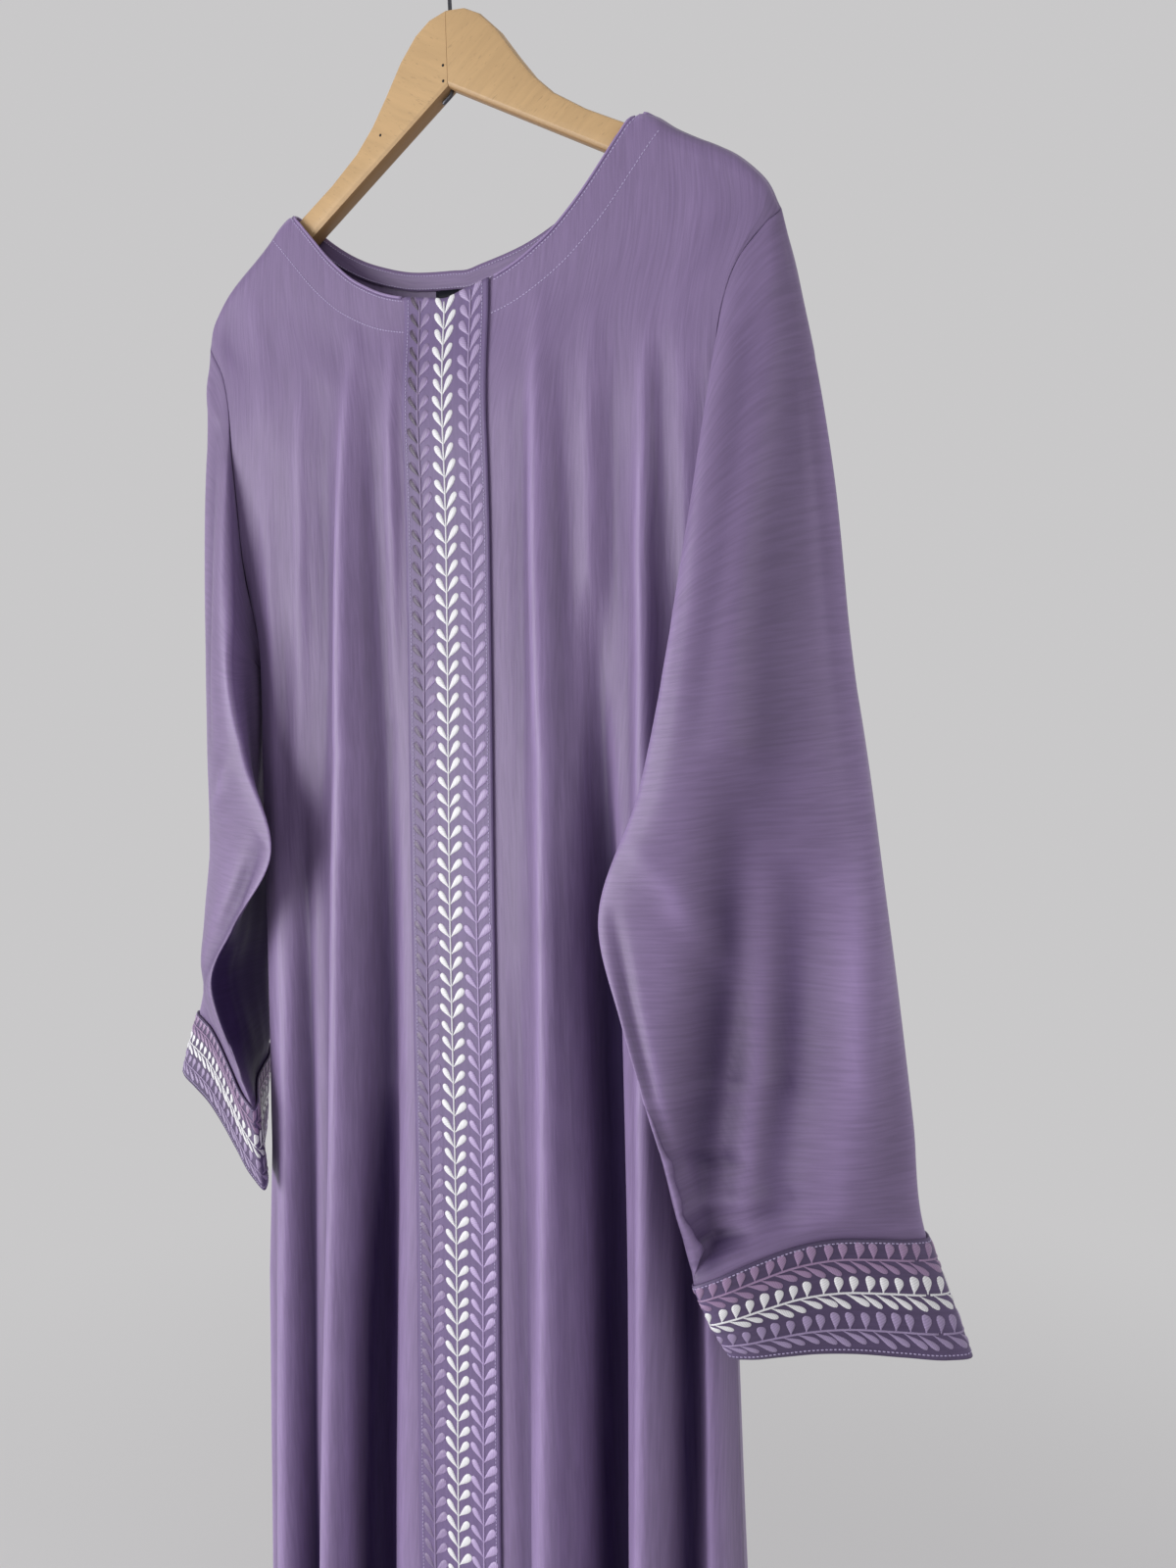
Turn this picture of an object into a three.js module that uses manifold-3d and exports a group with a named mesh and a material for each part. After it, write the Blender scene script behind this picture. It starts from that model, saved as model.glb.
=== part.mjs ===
// Long open-front robe (abaya) on its wooden hanger, in millimetres, +Z up, front towards -Y.
// The origin is the inside top of the hanger's hook, where a rail carries it.
// Heights inside the garment group are measured from the notch under the hanger's neck.
import * as THREE from 'three';
import { mergeVertices } from 'three/addons/utils/BufferGeometryUtils.js';
import Module from 'manifold-3d';

// ---------------------------------------------------------------- driving dimensions
const WALL = 1.5;               // cloth wall, with its seam allowances
const SEAM = 0.3;               // gap between pieces that are sewn together
const HEM_Z = -1470;            // bottom edge of front and back
const UNDERARM_Z = -370;        // where the side seam starts
const NECK_X = 140;             // shoulder neck point
const TIP = { x: 229, z: -128 };  // shoulder tip, top of the armhole
const BAND_HALF = 34;           // half the embroidered front band
const BAND_WALL = 1.5;          // band with its thread and backing
const FACING_WALL = 1.1;
const SHOULDER_ROUND = 8;       // radius of the cloth over the hanger's arm
const CUFF_WALL = 1.5;

const WOOD_THICK = 12;
const WOOD_ROUND = 3;
const NOTCH_DROP = 117;         // hook's inside top down to the notch
const NECK_TOP = 50;            // top of the wooden neck above the notch
const WIRE = 3;                 // hook wire diameter
const HOOK_RADIUS = 20;         // bend, to the wire's centre
const WIRE_BORE = 3.6;

const COLOURS = { cloth: 0x83729a, band: 0x7a6a8a, label: 0x1a1d30, wood: 0xcdaf80, steel: 0x6d7075 };

// ---------------------------------------------------------------- section and fold tables
// Outlines, out from the centre line.
// The slump is how much lower the wearer's right shoulder lies.
const SHOULDER_LINE = [
  { x: 0, z: -52, slump: 0 }, { x: 140, z: -52, slump: 0 }, { x: 169, z: -70, slump: 2 },
  { x: 203, z: -91.5, slump: 3 }, { x: 219, z: -108, slump: 3 }, { x: 229, z: -128, slump: 0 },
];
const FRONT_NECK = [
  { x: 0, z: -141 }, { x: 45, z: -131 }, { x: 79, z: -114 }, { x: 105, z: -91 }, { x: 127, z: -66 },
  { x: 140, z: -52 },
];
const BACK_NECK = [
  { x: 0, z: -114 }, { x: 42, z: -108 }, { x: 80, z: -95 }, { x: 108, z: -79 }, { x: 129, z: -62 },
  { x: 140, z: -52 },
];
// Hanging body at each height: half width, and how far front and back stand from the middle plane.
const BODY = [
  { z: -52, half: 229, front: 8.4, back: 8.4 },
  { z: -66, half: 229, front: 10, back: 10.5 },
  { z: -128, half: 229, front: 14, back: 14 },
  { z: -147, half: 214, front: 15, back: 15 },
  { z: -172, half: 200, front: 17, back: 16 },
  { z: -220, half: 194, front: 19, back: 18 },
  { z: -300, half: 189, front: 22, back: 21 },
  { z: -370, half: 186, front: 24, back: 23 },
  { z: -550, half: 185, front: 30, back: 27 },
  { z: -740, half: 187, front: 35, back: 31 },
  { z: -1000, half: 191, front: 46, back: 38 },
  { z: -1470, half: 212, front: 56, back: 48 },
];
// Armhole: how far its edge stands from the middle plane.
const ARMHOLE = [
  { z: -128, off: 0.15 }, { z: -134, off: 7 }, { z: -147, off: 13 }, { z: -172, off: 18 },
  { z: -220, off: 22 }, { z: -290, off: 21 }, { z: -340, off: 13 }, { z: -362, off: 5 },
  { z: -370, off: 0.15 },
];
// Hanging folds: place at the top and at the hem, where they start, how far they stand out
// there and at the hem (a valley is negative), and half their width.
const FRONT_FOLDS = [
  { top: -155, hem: -172, from: -200, rise: 6, hemRise: 15, width: 15 },
  { top: -104, hem: -146, from: -560, rise: -3, hemRise: -17, width: 13 },
  { top: -74, hem: -122, from: -150, rise: 7, hemRise: 24, width: 19 },
  { top: -57, hem: -87, from: -420, rise: -4, hemRise: -22, width: 15 },
  { top: 80, hem: 78, from: -150, rise: 6, hemRise: 23, width: 18 },
  { top: 108, hem: 106, from: -380, rise: -5, hemRise: -24, width: 15 },
  { top: 150, hem: 141, from: -160, rise: 7, hemRise: 22, width: 13 },
  { top: 168, hem: 164, from: -520, rise: -3, hemRise: -18, width: 11 },
];
const BACK_FOLDS = [
  { top: -150, hem: -160, from: -240, rise: 6, hemRise: 20, width: 18 },
  { top: -112, hem: -122, from: -420, rise: -4, hemRise: -19, width: 15 },
  { top: -66, hem: -80, from: -180, rise: 7, hemRise: 22, width: 20 },
  { top: -28, hem: -34, from: -480, rise: -3, hemRise: -18, width: 16 },
  { top: 22, hem: 20, from: -260, rise: 5, hemRise: 21, width: 19 },
  { top: 60, hem: 64, from: -520, rise: -4, hemRise: -20, width: 16 },
  { top: 104, hem: 112, from: -170, rise: 7, hemRise: 24, width: 19 },
  { top: 150, hem: 160, from: -460, rise: -4, hemRise: -14, width: 14 },
];
// Rows down the panels: shares of the height above the underarm, then heights below it.
const ARM_ROWS = [0, 0.01, 0.025, 0.048, 0.12, 0.23, 0.37, 0.53, 0.7, 0.86, 1];
const LOWER_ROWS = [-450, -540, -640, -745, -855, -970, -1090, -1215, -1340, HEM_Z];
// Columns across half a panel, as places along the shoulder; below it those past the band
// close up with the panel's half width.
const BAND_COLUMNS = [0, 11.5, 23, BAND_HALF];
const OUTER_COLUMNS = [
  46, 58, 70, 82, 94, 106, 118, 129, 136.5, NECK_X, 150, 163, 177, 191, 204, 217, TIP.x,
];

// Sleeve sections below the underarm, each a closed loop through six lines: the front fold,
// the face, the outer edge, the back, the rear corner and the side next to the body. zIn and
// zOut are its heights at the front fold and at the outer edge, and lift raises the face.
const LEFT_SLEEVE = [
  { zIn: -390, zOut: -372, lift: 0, fold: [176, -60], face: [228, -52], outer: [267, -2],
    back: [236, 40], rear: [190, 46], body: [193, -3] },
  { zIn: -465, zOut: -452, lift: 0, fold: [160, -66], face: [225, -60], outer: [277, -3],
    back: [248, 38], rear: [198, 38], body: [193, -14] },
  { zIn: -547, zOut: -545, lift: 0, fold: [134, -72], face: [216, -57], outer: [287, -2],
    back: [255, 30], rear: [204, 24], body: [190, -30] },
  { zIn: -600, zOut: -600, lift: 0, fold: [151, -79], face: [222, -54], outer: [293, -1],
    back: [262, 27], rear: [212, 18], body: [195, -32] },
  { zIn: -680, zOut: -665, lift: 4, fold: [177, -82], face: [240, -52], outer: [301, -2],
    back: [274, 24], rear: [221, 12], body: [199, -34] },
  { zIn: -750, zOut: -729, lift: 15, fold: [193, -75], face: [254, -47], outer: [308, -2],
    back: [284, 20], rear: [230, 6], body: [203, -30] },
  { zIn: -776, zOut: -762, lift: 12, fold: [200, -66], face: [258, -42], outer: [320, -1],
    back: [290, 22], rear: [233, 6], body: [206, -28] },
  { zIn: -799, zOut: -796, lift: 6, fold: [207, -54], face: [264, -36], outer: [332, 0],
    back: [300, 24], rear: [238, 6], body: [209, -26] },
];
const RIGHT_SLEEVE = [
  { zIn: -388, zOut: -372, lift: 0, fold: [176, -50], face: [214, -38], outer: [236, -5],
    back: [213, 20], rear: [189, 37], body: [193, -3] },
  { zIn: -446, zOut: -440, lift: 0, fold: [160, -56], face: [208, -42], outer: [241, -3],
    back: [219, 20], rear: [195, 31], body: [193, -10] },
  { zIn: -514, zOut: -510, lift: 0, fold: [133, -62], face: [202, -42], outer: [250, -1],
    back: [228, 18], rear: [202, 25], body: [190, -24] },
  { zIn: -572, zOut: -568, lift: 0, fold: [179, -58], face: [222, -38], outer: [262, 2],
    back: [242, 20], rear: [209, 22], body: [197, -24] },
  { zIn: -616, zOut: -605, lift: 0, fold: [210, -50], face: [240, -32], outer: [267, 3],
    back: [248, 20], rear: [218, 20], body: [209, -20] },
  { zIn: -672, zOut: -632, lift: 6, fold: [189, -50], face: [236, -28], outer: [272, 4],
    back: [253, 20], rear: [221, 20], body: [202, -20] },
  { zIn: -706, zOut: -656, lift: 14, fold: [173, -50], face: [236, -24], outer: [279, 2],
    back: [262, 20], rear: [224, 20], body: [198, -20] },
  { zIn: -738, zOut: -682, lift: 14, fold: [170, -49], face: [238, -24], outer: [291, 3],
    back: [268, 21], rear: [227, 18], body: [198, -19] },
  { zIn: -768, zOut: -708, lift: 12, fold: [168, -47], face: [240, -24], outer: [301, 3],
    back: [277, 22], rear: [230, 16], body: [198, -18] },
];
const CAP_RINGS = [0, 0.12, 0.34, 0.64];   // shares of the way from the armhole to the first loop
const CAP_BULGE = { left: 6, right: 2 };   // roundness of each sleeve's head
const CUFF_SECTIONS = 3;        // the last sections, which the cuff's band covers

// Hanger outline, right half, from the neck's top round the arm's end to the notch.
const WOOD_TOP = [
  [0, NECK_TOP], [14, 47.5], [26, 40.5], [39, 27], [53, 7], [65, -9], [80, -24], [103, -40],
  [131, -56], [169, -79], [203, -99.5], [210, -105], [214.5, -111], [214.5, -117], [211, -121.5],
  [205, -122.5],
];
const WOOD_UNDER = [[122, -73], [77, -46], [33, -19.5], [0, 0]];

// ---------------------------------------------------------------- small helpers
const clamp01 = (v) => Math.min(1, Math.max(0, v));
const lerp = (a, b, t) => a + (b - a) * t;
const smooth = (v) => clamp01(v) ** 2 * (3 - 2 * clamp01(v));

// Smooth reading of a table's column without overshoot (monotone cubic).
function read(table, by, column, at) {
  const rows = table[0][by] < table[table.length - 1][by] ? table : [...table].reverse();
  const last = rows.length - 1;
  if (at <= rows[0][by]) return rows[0][column];
  if (at >= rows[last][by]) return rows[last][column];
  const i = rows.findIndex((row, k) => at < rows[k + 1][by]);
  const slope = (k) => (rows[k + 1][column] - rows[k][column]) / (rows[k + 1][by] - rows[k][by]);
  const tangent = (k) => {
    if (k === 0) return slope(0);
    if (k === last) return slope(last - 1);
    const a = slope(k - 1);
    const b = slope(k);
    return a * b <= 0 ? 0 : (2 * a * b) / (a + b);
  };
  const step = rows[i + 1][by] - rows[i][by];
  const t = (at - rows[i][by]) / step;
  const pull = (1 - t) * (tangent(i) - slope(i)) - t * (tangent(i + 1) - slope(i));
  const bend = t * (1 - t) * step * pull;
  return lerp(rows[i][column], rows[i + 1][column], t) + bend;
}

function foldHeight(folds, x, z) {
  let height = 0;
  for (const fold of folds) {
    const down = clamp01((fold.from - z) / (fold.from - HEM_Z));
    const centre = lerp(fold.top, fold.hem, down);
    const start = smooth((fold.from - z) / 160);
    const rise = lerp(fold.rise, fold.hemRise, down);
    height += start * rise * Math.exp(-(((x - centre) / fold.width) ** 2));
  }
  return height;
}

// Normals of a grid of points, from its neighbours; a closed grid wraps round its columns.
function gridNormals(grid, closed) {
  return grid.map((row, i) => row.map((point, j) => {
    const n = row.length;
    const left = closed ? row[(j + n - 1) % n] : row[Math.max(j - 1, 0)];
    const right = closed ? row[(j + 1) % n] : row[Math.min(j + 1, n - 1)];
    const up = grid[Math.max(i - 1, 0)][j];
    const down = grid[Math.min(i + 1, grid.length - 1)][j];
    return new THREE.Vector3().subVectors(right, left).cross(up.clone().sub(down)).normalize();
  }));
}

const moved = (grid, normals, by) => grid.map((row, i) => row.map(
  (point, j) => point.clone().addScaledVector(normals[i][j], by)));

// One closed wall between two grids of the same size.
function wallGeometry(outer, inner, closed) {
  const rows = outer.length;
  const columns = outer[0].length;
  const points = [...outer.flat(), ...inner.flat()];
  const index = [];
  const at = (side, i, j) => side * rows * columns + i * columns + (j % columns);
  const quad = (a, b, c, d) => index.push(a, b, c, a, c, d);
  const spans = closed ? columns : columns - 1;
  for (let i = 0; i < rows - 1; i++) {
    for (let j = 0; j < spans; j++) {
      quad(at(0, i, j), at(0, i + 1, j), at(0, i + 1, j + 1), at(0, i, j + 1));
      quad(at(1, i, j), at(1, i, j + 1), at(1, i + 1, j + 1), at(1, i + 1, j));
    }
  }
  for (let j = 0; j < spans; j++) {
    quad(at(0, 0, j), at(0, 0, j + 1), at(1, 0, j + 1), at(1, 0, j));
    quad(at(0, rows - 1, j), at(1, rows - 1, j), at(1, rows - 1, j + 1), at(0, rows - 1, j + 1));
  }
  if (!closed) {
    for (let i = 0; i < rows - 1; i++) {
      quad(at(0, i, 0), at(1, i, 0), at(1, i + 1, 0), at(0, i + 1, 0));
      const j = columns - 1;
      quad(at(0, i, j), at(0, i + 1, j), at(1, i + 1, j), at(1, i, j));
    }
  }
  const geometry = new THREE.BufferGeometry();
  const coordinates = points.flatMap((p) => p.toArray());
  geometry.setAttribute('position', new THREE.Float32BufferAttribute(coordinates, 3));
  geometry.setIndex(index);
  if (signedVolume(geometry) < 0) index.reverse();
  geometry.setIndex(index);
  geometry.computeVertexNormals();
  return geometry;
}

function signedVolume(geometry) {
  const position = geometry.getAttribute('position');
  const index = geometry.getIndex();
  const [a, b, c] = [new THREE.Vector3(), new THREE.Vector3(), new THREE.Vector3()];
  let volume = 0;
  for (let i = 0; i < index.count; i += 3) {
    a.fromBufferAttribute(position, index.getX(i));
    b.fromBufferAttribute(position, index.getX(i + 1));
    c.fromBufferAttribute(position, index.getX(i + 2));
    volume += a.dot(b.cross(c)) / 6;
  }
  return volume;
}

const garment = new THREE.Group();
garment.position.z = -NOTCH_DROP;

function addPiece(name, geometry, colour, roughness = 0.6, metalness = 0) {
  const material = new THREE.MeshStandardMaterial({ color: colour, roughness, metalness });
  const mesh = new THREE.Mesh(geometry, material);
  mesh.name = name;
  garment.add(mesh);
}

// ---------------------------------------------------------------- body panels
function shoulderHeight(x, side) {
  return read(SHOULDER_LINE, 'x', 'z', x) - (side < 0 ? read(SHOULDER_LINE, 'x', 'slump', x) : 0);
}

// A panel's outer points: facing is -1 for the front and 1 for the back, side is -1 or 1 in X.
function panelPoint(facing, side, place, row) {
  const front = facing < 0;
  const neck = front ? FRONT_NECK : BACK_NECK;
  const top = place < NECK_X ? read(neck, 'x', 'z', place) : shoulderHeight(place, side);
  const armRows = ARM_ROWS.length - 1;
  const z = row <= armRows ? lerp(top, UNDERARM_Z, ARM_ROWS[row]) : LOWER_ROWS[row - armRows - 1];
  const half = read(BODY, 'z', 'half', z);
  const x = place <= BAND_HALF ? place
    : lerp(BAND_HALF, half, (place - BAND_HALF) / (TIP.x - BAND_HALF));
  const share = x / half;
  const below = shoulderHeight(x, side) - z;
  const wrap = Math.sqrt(1 - (1 - clamp01(below / SHOULDER_ROUND)) ** 2);
  const depth = read(BODY, 'z', front ? 'front' : 'back', z) * wrap;
  const edge = z > UNDERARM_Z ? read(ARMHOLE, 'z', 'off', z) * (x < TIP.x ? 1 : 0) : 0;
  const roll = clamp01(1 - share ** 4) ** 0.25;
  const folds = foldHeight(front ? FRONT_FOLDS : BACK_FOLDS, side * x, z) * (1 - share ** 8);
  const stand = Math.max(lerp(edge, Math.max(depth, edge), roll) + folds, SEAM / 2);
  return new THREE.Vector3(side * x, facing * stand, z);
}

const ROWS = ARM_ROWS.length + LOWER_ROWS.length;
const UNDERARM_ROW = ARM_ROWS.length - 1;

// Half a front or back, from its centre line to the side seam; columns run along +X seen
// from outside for the normals to point outwards.
function halfPanel(facing, side) {
  const places = [...BAND_COLUMNS, ...OUTER_COLUMNS];
  return Array.from({ length: ROWS }, (_, row) => {
    const line = places.map((place) => panelPoint(facing, side, place, row));
    return side === -facing ? line : line.reverse();
  });
}

// Seam edges keep their thickness in the seam's own plane.
function squareSeams(grid, normals) {
  grid.forEach((row, i) => row.forEach((point, j) => {
    const onShoulder = i === 0 && Math.abs(point.x) >= NECK_X - 1;
    const onSide = i >= UNDERARM_ROW && Math.abs(point.y) < SEAM;
    if (onShoulder || onSide) {
      normals[i][j].y = 0;
      normals[i][j].normalize();
    }
  }));
}

function frontHalf(side) {
  const outer = halfPanel(-1, side);
  const normals = gridNormals(outer, false);
  squareSeams(outer, normals);
  const centre = side > 0 ? 0 : outer[0].length - 1;
  normals.forEach((row) => {
    row[centre].x = 0;
    row[centre].normalize();
  });
  const cut = outer.map((row) => row.map((point, j) => {
    const place = point.clone();
    if (j === centre) place.x = side * SEAM / 2;
    return place;
  }));
  return { outer: cut, normals, flat: outer, sideColumn: side > 0 ? outer[0].length - 1 : 0 };
}

function wholeBack() {
  const west = halfPanel(1, -1);
  const east = halfPanel(1, 1);
  const outer = east.map((row, i) => [...row, ...west[i].slice(1)]);
  const normals = gridNormals(outer, false);
  squareSeams(outer, normals);
  return { outer, normals };
}

const fronts = { right: frontHalf(-1), left: frontHalf(1) };
const back = wholeBack();

// ---------------------------------------------------------------- sleeves
// The armhole's outer points from the shoulder tip down the front, and back up the rear.
function armholeLoop(side) {
  const front = side > 0 ? fronts.left : fronts.right;
  const backColumn = side > 0 ? 0 : back.outer[0].length - 1;
  const loop = [];
  for (let i = 0; i <= UNDERARM_ROW; i++) {
    loop.push({ grid: front, i, j: front.sideColumn });
  }
  for (let i = UNDERARM_ROW - 1; i > 0; i--) loop.push({ grid: back, i, j: backColumn });
  return loop;
}

const RING = 2 * UNDERARM_ROW;

// The six lines lie at these places round a ring, counted from the shoulder tip.
const LINE_PLACES = { outer: 0, face: 3.5, fold: 7, body: 10, rear: 13, back: 16.5 };

function sectionLoop(section, side) {
  const order = ['outer', 'face', 'fold', 'body', 'rear', 'back'];
  const inX = section.fold[0];
  const outX = section.outer[0];
  const guides = order.map((line) => {
    const [x, y] = section[line];
    const z = lerp(section.zIn, section.zOut, (x - inX) / (outX - inX));
    return new THREE.Vector3(side * x, y, z + (line === 'face' ? section.lift : 0));
  });
  const curve = new THREE.CatmullRomCurve3(guides, true, 'centripetal');
  const places = [...order.map((line) => LINE_PLACES[line]), RING];
  return Array.from({ length: RING }, (_, k) => {
    const span = places.findIndex((place, i) => k < places[i + 1]);
    const share = (k - places[span]) / (places[span + 1] - places[span]);
    return curve.getPoint((span + share) / order.length);
  });
}

function sleeveRings(side, sections, rounding) {
  const armhole = armholeLoop(side).map(({ grid, i, j }, k) => {
    const point = grid.outer[i][j].clone();
    if (k === 0 || k === UNDERARM_ROW) point.y = 0;
    return point;
  });
  const loops = sections.map((section) => sectionLoop(section, side));
  const cap = CAP_RINGS.map((share) => armhole.map((point, k) => {
    const awayFromBody = smooth((Math.abs(k - RING / 2) - 2) / 4);
    const bulge = rounding * Math.sin(Math.PI * share) * awayFromBody;
    const around = (2 * Math.PI * k) / RING;
    const away = new THREE.Vector3(side * Math.cos(around), -Math.sin(around), 0);
    return point.clone().lerp(loops[0][k], share).addScaledVector(away, bulge);
  }));
  return [...cap, ...loops];
}

// Thickness at the armhole is shared between the body and the sleeve, so both walls end on
// one mitred face, SEAM apart.
function joinArmhole(side, rings, normals) {
  const loop = armholeLoop(side);
  loop.forEach(({ grid, i, j }, k) => {
    const body = grid.normals[i][j];
    const shared = body.clone().add(normals[0][k]).normalize();
    if (k === 0 || k === UNDERARM_ROW) {
      shared.y = 0;
      shared.normalize();
    }
    const before = rings[0][(k + RING - 1) % RING];
    const after = rings[0][(k + 1) % RING];
    const away = after.clone().sub(before).cross(shared).normalize();
    if (away.x * side < 0) away.negate();
    body.copy(shared);
    normals[0][k].copy(shared);
    rings[0][k].addScaledVector(away, SEAM);
  });
  const backUnder = back.normals[UNDERARM_ROW][side > 0 ? 0 : back.outer[0].length - 1];
  const frontUnder = loop[UNDERARM_ROW].grid.normals[UNDERARM_ROW][loop[UNDERARM_ROW].j];
  backUnder.copy(frontUnder);
  back.normals[0][side > 0 ? 0 : back.outer[0].length - 1].copy(loop[0].grid.normals[0][loop[0].j]);
}

function makeSleeve(side, sections, rounding) {
  const rings = sleeveRings(side, sections, rounding);
  const normals = gridNormals(rings, true);
  if (side > 0) normals.flat().forEach((normal) => normal.negate());
  joinArmhole(side, rings, normals);
  return { rings, normals };
}

const sleeves = {
  left: makeSleeve(1, LEFT_SLEEVE, CAP_BULGE.left),
  right: makeSleeve(-1, RIGHT_SLEEVE, CAP_BULGE.right),
};

for (const [name, { rings, normals }] of Object.entries(sleeves)) {
  addPiece(`${name}_sleeve`, wallGeometry(rings, moved(rings, normals, -WALL), true), COLOURS.cloth);
  const cuffRings = rings.slice(-CUFF_SECTIONS);
  const cuffNormals = normals.slice(-CUFF_SECTIONS);
  const under = moved(cuffRings, cuffNormals, SEAM);
  const over = moved(cuffRings, cuffNormals, SEAM + CUFF_WALL);
  addPiece(`${name}_cuff_band`, wallGeometry(over, under, true), COLOURS.band);
}

for (const [name, { outer, normals }] of Object.entries(fronts)) {
  const inner = moved(outer, normals, -WALL);
  addPiece(`${name}_front_panel`, wallGeometry(outer, inner, false), COLOURS.cloth);
}
const backInner = moved(back.outer, back.normals, -WALL);
addPiece('back_panel', wallGeometry(back.outer, backInner, false), COLOURS.cloth);

// ---------------------------------------------------------------- front band, neck strip, label
function bandGrid() {
  const kept = BAND_COLUMNS.length;
  const join = (key) => fronts.right[key].map(
    (row, i) => [...row.slice(-kept, -1), ...fronts.left[key][i].slice(0, kept)]);
  return { points: join('flat'), normals: join('normals') };
}

const band = bandGrid();
addPiece('front_band', wallGeometry(
  moved(band.points, band.normals, SEAM + BAND_WALL), moved(band.points, band.normals, SEAM), false),
COLOURS.band);

const STRIP_ROWS = 3;           // rows of the back panel that the neck strip covers
const STRIP_END = 130;          // half its length
function neckStrip() {
  const keep = (row, source) => row.filter((_, j) => Math.abs(source[j].x) <= STRIP_END);
  const rows = back.outer.slice(0, STRIP_ROWS + 1);
  const points = rows.map((row) => keep(row, back.outer[0]));
  const normals = rows.map((_, i) => keep(back.normals[i], back.outer[0]));
  return wallGeometry(
    moved(points, normals, -WALL - SEAM), moved(points, normals, -WALL - SEAM - FACING_WALL), false);
}
addPiece('back_neck_strip', neckStrip(), COLOURS.cloth);

// The label hangs flat from the strip's lower edge, just clear of the back panel.
const LABEL = { x: 2, width: 58, height: 26, below: 0.4, gap: 0.5, wall: 0.8 };
function neckLabel() {
  const behind = back.outer.slice(STRIP_ROWS, STRIP_ROWS + 3).map(
    (row) => row.filter((p) => Math.abs(p.x - LABEL.x) < 0.75 * LABEL.width));
  const top = Math.min(...behind[0].map((p) => p.z)) - LABEL.below;
  const nearest = Math.min(...behind.flat().map((p) => p.y));
  const label = new THREE.BoxGeometry(LABEL.width, LABEL.wall, LABEL.height);
  label.translate(LABEL.x, nearest - WALL - LABEL.gap - LABEL.wall / 2, top - LABEL.height / 2);
  return label;
}
addPiece('neck_label', neckLabel(), COLOURS.label);

// ---------------------------------------------------------------- hanger
const wasm = await Module();
wasm.setup();

function toSolid(geometry) {
  const bare = geometry.clone();
  bare.deleteAttribute('normal');
  bare.deleteAttribute('uv');
  const merged = mergeVertices(bare, 1e-4);
  return new wasm.Manifold(new wasm.Mesh({
    numProp: 3,
    vertProperties: new Float32Array(merged.getAttribute('position').array),
    triVerts: new Uint32Array(merged.getIndex().array),
  }));
}

function toGeometry(solid) {
  const mesh = solid.getMesh();
  const geometry = new THREE.BufferGeometry();
  geometry.setAttribute('position', new THREE.BufferAttribute(mesh.vertProperties, 3));
  geometry.setIndex(new THREE.BufferAttribute(mesh.triVerts, 1));
  geometry.computeVertexNormals();
  return geometry;
}

function woodOutline() {
  const shape = new THREE.Shape();
  const right = [...WOOD_TOP, ...WOOD_UNDER];
  const left = right.slice(1, -1).reverse().map(([x, z]) => [-x, z]);
  [...right, ...left].forEach(([x, z], i) => (i ? shape.lineTo(x, z) : shape.moveTo(x, z)));
  shape.closePath();
  return shape;
}

// Both halves are cut from one rounded board, SEAM apart, with a bore for the wire.
function woodHalf(side) {
  const board = new THREE.ExtrudeGeometry(woodOutline(), {
    depth: WOOD_THICK - 2 * WOOD_ROUND,
    bevelThickness: WOOD_ROUND,
    bevelSize: WOOD_ROUND,
    bevelOffset: -WOOD_ROUND,
    bevelSegments: 2,
  });
  board.rotateX(Math.PI / 2);
  board.translate(0, WOOD_THICK / 2 - WOOD_ROUND, 0);
  const half = new THREE.BoxGeometry(400, 60, 400);
  half.translate(side * (200 + SEAM / 2), 0, 0);
  const bore = new THREE.CylinderGeometry(WIRE_BORE / 2, WIRE_BORE / 2, 2 * NECK_TOP + 40, 12);
  bore.rotateX(Math.PI / 2);
  return toGeometry(toSolid(board).intersect(toSolid(half)).subtract(toSolid(bore)));
}
addPiece('hanger_right_half', woodHalf(-1), COLOURS.wood, 0.5);
addPiece('hanger_left_half', woodHalf(1), COLOURS.wood, 0.5);

// Hook: one wire from its end bent over under the notch, up through the neck and round.
const BENT_END = 10;            // length of the end under the wood
const ARM_ANGLE = 210;          // direction of the arm it lies along, in degrees
const STEM_TOP = 34;            // straight stem's end below the hook's centre
class HookPath extends THREE.Curve {
  constructor() {
    super();
    const centreZ = NOTCH_DROP + WIRE / 2 - HOOK_RADIUS;
    const arc = (degrees) => {
      const a = THREE.MathUtils.degToRad(degrees);
      return [HOOK_RADIUS * Math.cos(a), centreZ + HOOK_RADIUS * Math.sin(a)];
    };
    const arm = THREE.MathUtils.degToRad(ARM_ANGLE);
    const seat = WIRE / 2 + SEAM;
    const seatDrop = seat / Math.cos(arm + Math.PI);
    const under = (along) => [along * Math.cos(arm), along * Math.sin(arm) - seatDrop];
    this.guide = new THREE.CatmullRomCurve3([
      under(BENT_END), under(BENT_END / 2), [-0.2, -2.4], [0, 1.2], [0, 8], [0, NECK_TOP],
      [0, centreZ - STEM_TOP], [5, centreZ - 25], arc(-40), arc(-10), arc(20), arc(50), arc(80),
      arc(110), arc(140), arc(170), arc(200),
    ].map(([x, z]) => new THREE.Vector3(x, 0, z)), false, 'centripetal');
  }

  getPoint(t, target = new THREE.Vector3()) {
    return this.guide.getPoint(t, target);
  }
}

function hookGeometry() {
  const section = new THREE.Shape();
  section.absarc(0, 0, WIRE / 2, 0, 2 * Math.PI);
  return new THREE.ExtrudeGeometry(section, {
    steps: 44, curveSegments: 4, bevelEnabled: false, extrudePath: new HookPath(),
  });
}
addPiece('hanger_hook', hookGeometry(), COLOURS.steel, 0.35, 0.9);

export default garment;
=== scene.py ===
"""Long open-front robe on its wooden hanger: crepe cloth, embroidered bands, sewing, wood
and wire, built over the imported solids."""
import math
import random

import bmesh
import bpy
import numpy as np
from mathutils import Matrix, Vector


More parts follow.
